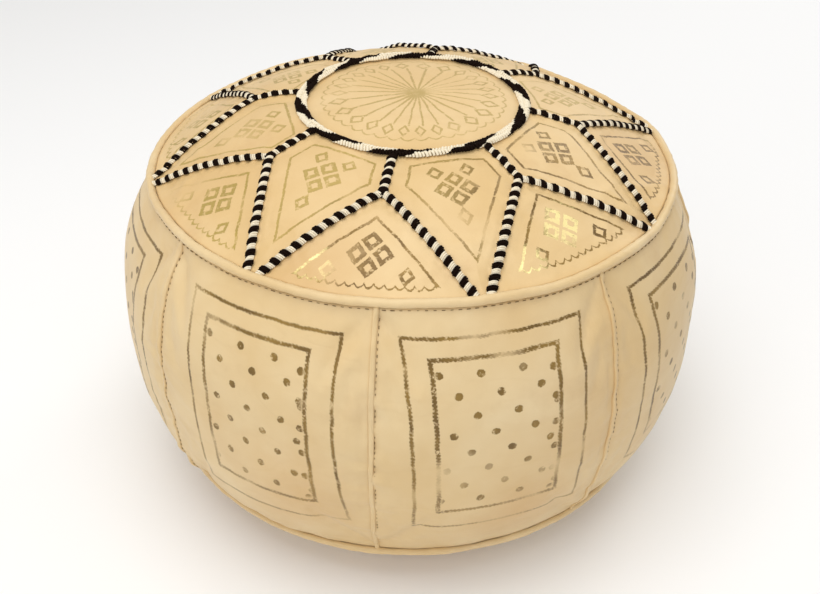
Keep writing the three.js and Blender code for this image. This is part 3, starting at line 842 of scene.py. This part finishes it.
def thread_tree():
    """Lays an arched thread at every point of its input, across the point's run and proud of its up."""
    tree = bpy.data.node_groups.new("laid threads", "GeometryNodeTree")
    face = tree.interface
    face.new_socket("Geometry", in_out="INPUT", socket_type="NodeSocketGeometry")
    for name in ("Width", "Height", "Thread"):
        face.new_socket(name, in_out="INPUT", socket_type="NodeSocketFloat")
    face.new_socket("Material", in_out="INPUT", socket_type="NodeSocketMaterial")
    face.new_socket("Geometry", in_out="OUTPUT", socket_type="NodeSocketGeometry")
    nodes, links = tree.nodes, tree.links
    given, result = nodes.new("NodeGroupInput"), nodes.new("NodeGroupOutput")

    def maths(operation, a, b):
        node = nodes.new("ShaderNodeMath")
        node.operation = operation
        for slot, value in zip(node.inputs, (a, b)):
            if isinstance(value, (int, float)):
                slot.default_value = value
            else:
                links.new(value, slot)
        return node.outputs[0]

    def corner(y, z):
        node = nodes.new("ShaderNodeCombineXYZ")
        for slot, value in zip(node.inputs[1:], (y, z)):
            if value is not None:
                links.new(value, slot)
        return node.outputs[0]

    half = maths("MULTIPLY", given.outputs["Width"], 0.5)
    arch = nodes.new("GeometryNodeCurveQuadraticBezier")
    arch.inputs["Resolution"].default_value = 7
    links.new(corner(maths("MULTIPLY", half, -1), None), arch.inputs["Start"])
    links.new(corner(None, maths("MULTIPLY", given.outputs["Height"], 2)), arch.inputs["Middle"])
    links.new(corner(half, None), arch.inputs["End"])
    share = nodes.new("GeometryNodeSplineParameter")
    mark = nodes.new("GeometryNodeStoreNamedAttribute")
    mark.inputs["Name"].default_value = "across"
    links.new(arch.outputs[0], mark.inputs["Geometry"])
    links.new(share.outputs["Factor"], mark.inputs["Value"])
    round_thread = nodes.new("GeometryNodeCurvePrimitiveCircle")
    round_thread.inputs["Resolution"].default_value = 6
    links.new(maths("MULTIPLY", given.outputs["Thread"], 0.5), round_thread.inputs["Radius"])
    tube = nodes.new("GeometryNodeCurveToMesh")
    tube.inputs["Fill Caps"].default_value = True
    links.new(mark.outputs["Geometry"], tube.inputs["Curve"])
    links.new(round_thread.outputs[0], tube.inputs["Profile Curve"])

    def named(name, kind):
        node = nodes.new("GeometryNodeInputNamedAttribute")
        node.data_type = kind
        node.inputs["Name"].default_value = name
        return node.outputs["Attribute"]

    axes = nodes.new("FunctionNodeAxesToRotation")
    axes.primary_axis, axes.secondary_axis = "Z", "X"
    links.new(named("up", "FLOAT_VECTOR"), axes.inputs[0])
    links.new(named("run", "FLOAT_VECTOR"), axes.inputs[1])
    lay = nodes.new("GeometryNodeInstanceOnPoints")
    links.new(given.outputs["Geometry"], lay.inputs["Points"])
    links.new(tube.outputs["Mesh"], lay.inputs["Instance"])
    links.new(axes.outputs[0], lay.inputs["Rotation"])
    links.new(named("swell", "FLOAT"), lay.inputs["Scale"])
    whole = nodes.new("GeometryNodeRealizeInstances")
    links.new(lay.outputs[0], whole.inputs[0])
    smooth = nodes.new("GeometryNodeSetShadeSmooth")
    links.new(whole.outputs[0], smooth.inputs[0])
    paint = nodes.new("GeometryNodeSetMaterial")
    links.new(smooth.outputs[0], paint.inputs["Geometry"])
    links.new(given.outputs["Material"], paint.inputs["Material"])
    links.new(paint.outputs[0], result.inputs[0])
    return tree


LAID_THREADS = thread_tree()


def laid_threads(name, places, run, up, along, swell, width, height, thread, material):
    """Threads laid at places (mm). run and up are directions, and along is each place in the pattern."""
    count = len(places)
    mesh = bpy.data.meshes.new(name)
    mesh.from_pydata((settled(places) * MM).tolist(), [], [])
    for label, values in (("run", run), ("up", up)):
        data = mesh.attributes.new(label, "FLOAT_VECTOR", "POINT").data
        data.foreach_set("vector", np.asarray(values, np.float32).reshape(-1))
    for label, values in (("place", along), ("swell", swell)):
        data = mesh.attributes.new(label, "FLOAT", "POINT").data
        data.foreach_set("value", (np.zeros(count) + values).astype(np.float32))
    host = bpy.data.objects.new(name + "_points", mesh)
    collection.objects.link(host)
    modifier = host.modifiers.new("threads", "NODES")
    modifier.node_group = LAID_THREADS
    sizes = {"Width": width * MM, "Height": height * MM, "Thread": thread * MM, "Material": material}
    for item in LAID_THREADS.interface.items_tree:
        if item.in_out == "INPUT" and item.name in sizes:
            modifier[item.identifier] = sizes[item.name]
    evaluated = host.evaluated_get(bpy.context.evaluated_depsgraph_get())
    made = bpy.data.meshes.new_from_object(evaluated)
    host.modifiers.remove(modifier)
    bpy.data.objects.remove(host)
    for label in ("run", "up", "swell"):
        if label in made.attributes:
            made.attributes.remove(made.attributes[label])
    piece = bpy.data.objects.new(name, made)
    collection.objects.link(piece)
    return piece


def seat(piece, slot, *nodes, body="cover"):
    """Puts a finished piece on its body, in place of its CAD nodes."""
    if nodes:
        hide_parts(*nodes)
    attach(piece, body)
    return piece


# ---------- crown ----------
crown_hand = np.random.default_rng(9)


def crown_part(name, radii, half_angle, centre, columns, material, node, shift):
    share = np.linspace(-1, 1, columns)[None, :]
    r = radii[:, None] + 0 * share
    half = half_angle(radii)[:, None] - np.degrees(0.45 / radii)[:, None]
    azimuth = centre + half * share
    lift = crown_relief(r, azimuth)
    outer, inner = on_crown(r, azimuth, lift), on_crown(r, azimuth, lift - LEATHER)
    own = np.radians(azimuth - centre)
    uv = np.stack([r * np.sin(own) - shift[0], r * np.cos(own) - shift[1]], -1) * MM
    piece = slab(name, outer, inner, uv, material)
    return seat(piece, "leather", node)


crown_end = TOP_PIPING[0] - 3.6
for k in range(PIECES):
    kite_rows = np.concatenate([np.linspace(RING_RADIUS + 0.55, FORK_RADIUS, 22)[:-1],
                                np.linspace(FORK_RADIUS, crown_end, 50)])
    shift = (2.6, 0.0) if k == 0 else crown_hand.uniform(-1.8, 1.8, 2)
    crown_part(f"kite_leather_{k + 1}", kite_rows, kite_half_angle, k * SECTOR, 56, kite_leather,
               f"crown_kite_{k + 1}", shift)
    triangle_rows = np.linspace(FORK_RADIUS + BRAID_WIDTH / 2, crown_end, 56)
    crown_part(f"triangle_leather_{k + 1}", triangle_rows, lambda r: SECTOR / 2 - kite_half_angle(r),
               (k + 0.5) * SECTOR, 64, triangle_leather, f"crown_triangle_{k + 1}",
               {0: (4.0, -1.0), PIECES - 1: (-0.5, 2.5)}.get(k, crown_hand.uniform(-1.8, 1.8, 2)))


def medallion():
    radii = np.linspace(0, RING_RADIUS - 0.55, 46)[1:]
    azimuth = np.arange(192) * 360 / 192
    r, a = np.meshgrid(radii, azimuth, indexing="ij")
    lift = crown_relief(r, a)
    middle = float(crown_relief(np.array([0.5]), np.array([0.0]))[0])
    top, under = on_crown(r, a, lift), on_crown(r, a, lift - LEATHER)
    count = top.shape[0] * top.shape[1]
    points = np.concatenate([top.reshape(-1, 3), under.reshape(-1, 3),
                             [[0, 0, CROWN_HEIGHT + middle], [0, 0, CROWN_HEIGHT + middle - LEATHER]]])
    index = np.arange(count).reshape(top.shape[:2])
    after = np.roll(index, -1, 1)
    faces = np.stack([index[:-1], index[1:], after[1:], after[:-1]], -1).reshape(-1, 4).tolist()
    faces += (np.stack([index[:-1], after[:-1], after[1:], index[1:]], -1) + count).reshape(-1, 4).tolist()
    faces += np.stack([index[-1], index[-1] + count, after[-1] + count, after[-1]], -1).tolist()
    faces += np.stack([np.full(192, 2 * count), index[0], after[0]], -1).tolist()
    faces += np.stack([np.full(192, 2 * count + 1), after[0] + count, index[0] + count], -1).tolist()
    uv = np.stack([points[:, 0], -points[:, 1]], -1) * MM
    piece = new_piece("medallion_leather", points, faces, uv, medallion_leather)
    return seat(piece, "leather", "crown_medallion")


medallion()

# ---------- braid ----------


def unit(v):
    return v / np.linalg.norm(v, axis=-1, keepdims=True)


def along_path(points, pitch):
    """Places at an even pitch along a polyline, with their distance from its start."""
    steps = np.linalg.norm(np.diff(points, axis=0), axis=1)
    distance = np.concatenate([[0], np.cumsum(steps)])
    wanted = np.arange(0, distance[-1], pitch)
    places = np.stack([np.interp(wanted, distance, points[:, i]) for i in range(3)], -1)
    return places, wanted


def crown_frame(places):
    """Up and outward directions at places on the crown."""
    r = np.hypot(places[:, 0], places[:, 1])
    azimuth = np.degrees(np.arctan2(places[:, 0], -places[:, 1]))
    return normals_of(on_crown, r, azimuth)


def seam_wraps(path, first_place, slant):
    places, distance = along_path(path, THREAD_PITCH)
    up = crown_frame(places)
    run = unit(np.gradient(places, axis=0))
    side = np.cross(up, run)
    lean = math.radians(slant)
    return places, run * math.cos(lean) + side * math.sin(lean), up, distance + first_place


jitter = np.random.default_rng(21)


def braid_path(r, azimuth, raised=0.9):
    """Points on the swollen crown, raised to the middle of a braid's threads."""
    return on_crown(r, azimuth, crown_relief(r, azimuth) + raised)


def seam_braid(k):
    """One Y-shaped braid: a stem, two arms and the knot where they meet."""
    fork_azimuth = (k + 0.5) * SECTOR
    stem_r = np.linspace(RING_RADIUS + 3.5, FORK_RADIUS - 1, 20)
    paths = [(braid_path(stem_r, fork_azimuth + 0 * stem_r)[::-1], 5.6)]
    for hand in (-1, 1):
        arm_r = np.linspace(FORK_RADIUS + 1, TOP_PIPING[0] - 2.4, 60)
        arm_a = fork_azimuth + hand * (SECTOR / 2 - kite_half_angle(arm_r))
        paths.append((braid_path(arm_r, arm_a), 7.0))
    laid = [seam_wraps(path, start, 20) for path, start in paths]
    knot_r = FORK_RADIUS + np.array([-2.6, -1.2, 0.2, 1.6, 3.0])
    knot = braid_path(knot_r, fork_azimuth + 0 * knot_r, 0.9 + 0.3)
    laid.append((knot, unit(np.gradient(knot, axis=0)), crown_frame(knot), np.full(5, 4.8)))
    places, run, up, along = (np.concatenate(part) for part in zip(*laid))
    turn = along / SEAM_REPEAT - np.floor(along / SEAM_REPEAT) - 0.5
    dark = np.abs(turn) * SEAM_REPEAT < BLACK_HALF
    bead = np.where(dark, np.cos(turn * SEAM_REPEAT / (2 * BLACK_HALF) * math.pi), 0)
    swell = 0.87 + 0.24 * bead + jitter.uniform(-0.04, 0.04, len(places))
    swell[-5:] = (0.92, 1.0, 1.05, 1.0, 0.92)
    braid = laid_threads(f"seam_braid_threads_{k + 1}", places, run, up, along, swell,
                         7.0, 2.3, 1.75, seam_thread)
    seat(braid, "braid", f"seam_braid_{k + 1}")


for k in range(PIECES):
    seam_braid(k)

ring_a = np.arange(RING_THREADS) * 360 / RING_THREADS
rows_of_ring = []
for hand in (-1, 1):  # two rows of slanting threads, plaited towards the ring's middle
    ring_r = RING_RADIUS + 2.1 * hand + 0 * ring_a
    turned_a = ring_a + hand * 90 / RING_THREADS
    ring_places = on_crown(ring_r, turned_a, crown_relief(ring_r, turned_a) + 1.0)
    ring_run = unit(np.roll(ring_places, -1, 0) - np.roll(ring_places, 1, 0))
    ring_up = crown_frame(ring_places)
    slanted = unit(ring_run + 0.45 * hand * np.cross(ring_up, ring_run))
    even = ring_a / 360 * RING_LENGTH + (hand - 1) * 0.13 * RING_REPEAT
    along = even + jitter.uniform(-1.2, 1.2, RING_THREADS)
    rows_of_ring.append((ring_places, slanted, ring_up, along, 1 + jitter.uniform(-0.13, 0.13, RING_THREADS)))
ring_braid = laid_threads("ring_braid_threads", *(np.concatenate(part) for part in zip(*rows_of_ring)),
                          4.6, 1.7, 2.3, ring_thread)
seat(ring_braid, "braid", "braid_ring")

# ---------- sides ----------
side_low = BASE_RIM[1] + 2.2
side_high = TOP_RIM[1] - 2.4
heights = np.linspace(side_low, side_high, 120)
profile = np.stack([side_radius(heights), heights], -1)
arc = np.concatenate([[0], np.cumsum(np.linalg.norm(np.diff(profile, axis=0), axis=1))])
FOIL_HEIGHT, FOIL_RAISED = 182.5, 3.6
foil_middle = float(np.interp(FOIL_HEIGHT, heights, arc)) + FOIL_RAISED
hand_set = np.random.default_rng(5)


def side_panel(k, centre):
    """A side panel, with its stamp turned, shifted, leaning and stretched as a hand set it."""
    share = np.linspace(-1, 1, 90)[None, :]
    z = heights[:, None] + 0 * share
    azimuth = centre + (SECTOR / 2 - 0.1) * share
    lift = side_relief(z, azimuth)
    across = np.radians(azimuth - centre) * side_radius(z)
    turn, shift = math.radians(hand_set.uniform(-0.9, 0.9)), hand_set.uniform(-2.5, 2.5, 2)
    lean, stretch = 0.02, 1.0
    if k == 0:
        turn, shift, lean = 0.0, (1.05, 0.0), 0.044
    elif k == PIECES - 1:
        turn, shift, lean, stretch = 0.0, (-9.3, 0.5), 0.049, 1.08
    v = (arc - foil_middle)[:, None] + 0 * share + shift[1]
    u = (across + shift[0] + lean * v) * stretch
    uv = np.stack([u * math.cos(turn) - v * math.sin(turn), u * math.sin(turn) + v * math.cos(turn)], -1) * MM
    # Seen from outside, azimuth grows to the right, so the rows run down to keep the outside facing out.
    outer, inner = on_side(z, azimuth, lift)[::-1], on_side(z, azimuth, lift - LEATHER)[::-1]
    panel = slab(f"side_leather_{k + 1}", outer, inner, uv[::-1], side_leather)
    seat(panel, "leather", f"side_panel_{k + 1}")


def side_welt(k, seam):
    """The raised seam between two side panels, pinched and wandering a little."""
    rows = np.linspace(side_low - 0.5, side_high + 0.5, 150)
    turnover = np.linspace(0, math.pi, 11)[None, :]
    wander = 0.5 * lattice_noise(rows, rows * 0, 38, 30 + k)
    off = (-np.cos(turnover) * 2.0 + wander[:, None]) / side_radius(rows)[:, None]
    z = rows[:, None] + 0 * turnover
    azimuth = seam + np.degrees(off)
    lift = side_relief(z, azimuth)
    pinch = 1 + 0.18 * lattice_noise(rows, rows * 0, 11, 50 + k)[:, None]
    rise = np.sin(turnover) ** 0.8 * 1.7 * pinch
    top = on_side(z, azimuth, lift + 0.35 + rise)[::-1]
    low = on_side(z, azimuth, lift - 0.9)[::-1]
    uv = np.stack([off * 250, z], -1)[::-1] * MM
    seat(slab(f"side_seam_{k + 1}", top, low, uv, piping_leather), "leather", f"side_welt_{k + 1}")


def side_stitching(k, seam):
    """The topstitching beside one seam."""
    z = np.arange(side_low + 6, side_high - 4, 4.6)
    azimuth = seam + np.degrees(3.0 / side_radius(z))
    places = on_side(z, azimuth, side_relief(z, azimuth) + 0.15)
    climb = unit(np.gradient(places, axis=0))
    out = normals_of(on_side, z, azimuth)
    stitches = laid_threads(f"side_stitches_{k + 1}", places, np.cross(climb, out), out, z,
                            1 + jitter.uniform(-0.25, 0.15, len(z)), 1.9, 0.25, 0.5, stitch_thread)
    seat(stitches, "leather")


for k in range(PIECES):
    middle = k * SECTOR + SIDE_TURN
    side_panel(k, middle)
    side_welt(k, middle + SECTOR / 2)
    side_stitching(k, middle + SECTOR / 2)

# ---------- piping and the stitches under it ----------


def round_section(centre, radius, slit_towards, slit):
    """A leather cover folded round a cord, open towards its seam."""
    start = slit_towards + slit / 2
    outer = np.radians(np.linspace(start, start + 360 - slit, 19))
    inner = outer[::-1]
    ring = lambda angles, r: np.stack([centre[0] + r * np.cos(angles), centre[1] + r * np.sin(angles)], -1)
    return np.concatenate([ring(outer, radius), ring(inner, radius - 1.1)])


def piping(name, seated, corner, seed, node):
    """A gathered leather piping, its slit turned to the seam at corner."""
    centre, radius = seated[:2], seated[2]
    towards = math.degrees(math.atan2(corner[1] - centre[1], corner[0] - centre[0]))
    section = round_section(centre, radius, towards, 70)
    around = 2 * math.pi * centre[0]

    def ripple(azimuth, angle):
        u = azimuth / 360 * around
        tight = 0.32 * lattice_noise(u + 3 * np.sin(angle), angle * 3, 4.6, seed)
        loose = 0.30 * lattice_noise(u, angle * 9 + 40, 33, seed + 1, around)
        return tight + loose

    piece = turned_ring(name, section, 900, around * MM, piping_leather, ripple)
    return seat(piece, "leather", node)


piping("top_piping_leather", TOP_PIPING, TOP_RIM, 61, "top_piping_cover")
cord_low, cord_high = (corner.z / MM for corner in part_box("top_piping_cord"))
around_cord = np.radians(np.arange(12) * 30)
cord_radius = (cord_high - cord_low) / 2
cord_section = np.stack([TOP_PIPING[0] + cord_radius * np.cos(around_cord),
                         TOP_PIPING[1] + cord_radius * np.sin(around_cord)], -1)
seat(turned_ring("top_piping_rope", cord_section, 300, 1.4, piping_cord), "cord", "top_piping_cord")
piping("base_piping_leather", BASE_PIPING, BASE_RIM, 71, "base_piping_cover")

RIM_STITCHES = 236
rim_a = np.arange(0, 360, 360 / RIM_STITCHES)
rim_z = np.full(len(rim_a), TOP_RIM[1] - 3.9)
rim_places = on_side(rim_z, rim_a, side_relief(rim_z, rim_a) + 0.2)
rim_run = unit(np.roll(rim_places, -1, 0) - np.roll(rim_places, 1, 0))
rim_out = normals_of(on_side, rim_z, rim_a)
rim_stitches = laid_threads("top_rim_stitches", rim_places, np.cross(rim_run, rim_out), rim_out, rim_a,
                            1 + jitter.uniform(-0.25, 0.15, len(rim_a)), 2.6, 0.3, 0.6, stitch_thread)
seat(rim_stitches, "leather")

# ---------- base ----------
base_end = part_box("base_half_back")[1].y / MM + 0.4


def base_under(x, y):
    r = np.hypot(x, y)
    roof = ZIP_RECESS * np.clip((VALLEY_FOOT - np.abs(y)) / (VALLEY_FOOT - VALLEY_SHOULDER), 0, 1)
    rise = base_rise(r)
    soft = 1.2
    crease = np.exp(-np.abs(rise - roof) / soft) * (np.minimum(rise, roof) > 0.01)
    return np.maximum(rise, roof) + 0.25 * soft * crease


for hand, side, node in ((-1, "front", "base_half_front"), (1, "back", "base_half_back")):
    swing = np.radians(np.linspace(-88.6, 88.6, 121))[None, :]
    x = base_end * np.sin(swing)
    ease = np.clip((np.abs(x) - SLIT_HALF_LENGTH + 2) / 3, 0, 1)
    near = SLIT_HALF_WIDTH * (1 - ease) + 0.25 * ease
    far = np.sqrt(base_end**2 - x**2)
    far = np.maximum(far, near + 0.5)
    share = (np.linspace(0, 1, 90)[:, None]) ** 1.25
    y = near + (far - near) * share
    x = x + 0 * share
    under = base_under(x, y)
    creased = 0.5 * lattice_noise(x + 400, y + 400 + 90 * hand, 40, 80)
    creased = creased * np.clip((under - 0.5) / 6, 0, 1) * np.clip((np.hypot(x, y) - 168) / 12, 0, 1)
    low = np.stack([x * hand, y * hand, under + np.maximum(creased, 0)], -1)
    top = low + np.array([0, 0, LEATHER])
    uv = np.stack([x * hand, y * hand], -1) * MM
    seat(slab(f"base_leather_{side}", low, top, uv, base_leather), "leather", node)

seam_x = np.concatenate([-np.arange(160, base_end - 12, 6.0)[::-1], np.arange(160, base_end - 12, 6.0)])
for hand, side in ((-1, "front"), (1, "back")):
    stitch_x = np.concatenate([seam_x, np.arange(-150, 151, 6.0)])
    stitch_y = np.where(np.abs(stitch_x) > 155, 3.2, 9.2) * hand
    spots = np.stack([stitch_x, stitch_y, base_under(stitch_x, stitch_y) - 0.05], -1)
    down = np.tile([0.0, 0.0, -1.0], (len(spots), 1))
    across = np.tile([0.0, 1.0, 0.0], (len(spots), 1))
    row = laid_threads(f"zip_stitches_{side}", spots, across, down, stitch_x,
                       1.0, 4.0, 0.4, 0.7, stitch_thread)
    seat(row, "leather")

# ---------- stuffing ----------


def stuffing():
    inset = 5.6
    rows = np.linspace(BASE_RIM[1] + 7, TOP_RIM[1] - 7, 40)
    columns = 160
    azimuth = np.arange(columns) * 360 / columns
    outline = [(r, inset + 2 + base_rise(np.array([r]))[0]) for r in np.linspace(2, BASE_RIM[0] - 9, 22)]
    outline += [(side_radius(np.array([z]))[0] - inset, z) for z in rows]
    outline += [(r, crown_rise(np.array([r]))[0] - inset) for r in np.linspace(TOP_RIM[0] - 9, 2, 26)]
    outline = np.array(outline)
    a = np.radians(azimuth)[None, :]
    r = outline[:, :1] + 0 * a
    row = np.arange(len(outline))[:, None]
    lump = 0.8 * lattice_noise(azimuth[None, :] * 4 + 0 * r, row * 5 + 0 * r, 22, 90, 1440)
    r = r + np.minimum(lump, 0.2)
    z = outline[:, 1:] + 0 * a
    x, y = r * np.sin(a), -r * np.cos(a)
    roof = (ZIP_RECESS + 7.5) * np.clip((VALLEY_FOOT + 16 - np.abs(y)) / 20, 0, 1)
    z = np.where(z < 60, np.maximum(z, roof + 0.001 * z), z)
    points = np.stack([x, y, z], -1)
    count = len(outline)
    index = np.arange(count * columns).reshape(count, columns)
    after = np.roll(index, -1, 1)
    faces = np.stack([index[:-1], after[:-1], after[1:], index[1:]], -1).reshape(-1, 4).tolist()
    flat = points.reshape(-1, 3)
    low_z, high_z = flat[index[0]][:, 2].mean(), flat[index[-1]][:, 2].mean()
    flat = np.concatenate([flat, [[0, 0, low_z], [0, 0, high_z]]])
    faces += np.stack([np.full(columns, count * columns), after[0], index[0]], -1).tolist()
    faces += np.stack([np.full(columns, count * columns + 1), index[-1], after[-1]], -1).tolist()
    piece = new_piece("stuffing_cotton", flat, faces, None, batting)
    return seat(piece, "stuffing", "stuffing")


stuffing()

# ---------- zip ----------
for side in ("front", "back"):
    low, high = (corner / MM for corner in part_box(f"zip_coil_{side}"))
    turns = np.arange(low.x + 0.8, high.x - 0.4, 1.5)
    middle_y = (low.y + high.y) / 2
    spots = np.stack([turns, 0 * turns + middle_y, 0 * turns + high.z - 0.55], -1)
    down = np.tile([0.0, 0.0, -1.0], (len(spots), 1))
    run = np.tile([1.0, 0.0, 0.0], (len(spots), 1))
    coil = laid_threads(f"zip_coil_teeth_{side}", spots, run, down, turns,
                        1.0, 1.65, 0.95, 0.85, coil_plastic)
    seat(coil, "coil", f"zip_coil_{side}")

for name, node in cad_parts.items():
    if node.hide_render:
        continue
    finish = brass
    if "tape" in name:
        finish = zip_tape
    elif "cord" in name:
        finish = piping_cord
    node.data.materials.clear()
    node.data.materials.append(finish)

# ---------- room, light and camera ----------


def studio():
    size = 6.0
    mesh = bpy.data.meshes.new("studio_floor")
    corners = [(-size, -size, 0), (size, -size, 0), (size, size, 0), (-size, size, 0)]
    mesh.from_pydata(corners, [], [(0, 1, 2, 3)])
    floor = bpy.data.objects.new("studio_floor", mesh)
    collection.objects.link(floor)
    pale = Surface("pale studio floor")
    pale.set(Base_Color=(0.90, 0.90, 0.90, 1), Roughness=0.9)
    mesh.materials.append(pale.material)
    world = bpy.data.worlds.new("studio")
    bpy.context.scene.world = world
    world.use_nodes = True
    world.node_tree.nodes["Background"].inputs["Color"].default_value = (1.0, 0.99, 0.97, 1)
    world.node_tree.nodes["Background"].inputs["Strength"].default_value = 0.64
    for name, place, width, power in (
        ("overhead softbox", (-0.3, -0.3, 2.1), 1.5, 21),
        ("front left softbox", (-1.3, -1.8, 1.5), 1.4, 12),
        ("back right softbox", (1.5, 1.3, 1.2), 0.8, 6),
    ):
        lamp = bpy.data.lights.new(name, "AREA")
        lamp.size, lamp.energy = width, power
        light = bpy.data.objects.new(name, lamp)
        light.location = place
        light.rotation_euler = (Vector((0, 0, 0.18)) - Vector(place)).to_track_quat("-Z", "Y").to_euler()
        collection.objects.link(light)


def camera():
    azimuth, elevation = math.radians(-13.67), math.radians(34.66)
    distance, aim = 0.9962, Vector((0, 0, 0.1625))
    tilt, roll = math.radians(-0.97), math.radians(0.85)
    flat = Vector((-math.sin(azimuth), math.cos(azimuth), 0))
    ahead = flat * math.cos(elevation) - Vector((0, 0, math.sin(elevation)))
    right = ahead.cross(Vector((0, 0, 1))).normalized()
    up = right.cross(ahead)
    place = aim - ahead * distance
    ahead, up = ahead * math.cos(tilt) + up * math.sin(tilt), up * math.cos(tilt) - ahead * math.sin(tilt)
    right, up = right * math.cos(roll) + up * math.sin(roll), up * math.cos(roll) - right * math.sin(roll)
    turn = Matrix((right, up, -ahead)).transposed().to_4x4()
    data = bpy.data.cameras.new("camera")
    data.lens, data.sensor_width = 46.98, 36
    viewer = bpy.data.objects.new("camera", data)
    viewer.matrix_world = Matrix.Translation(place) @ turn
    collection.objects.link(viewer)
    bpy.context.scene.camera = viewer


studio()
camera()
bpy.context.scene.view_settings.view_transform = "Standard"
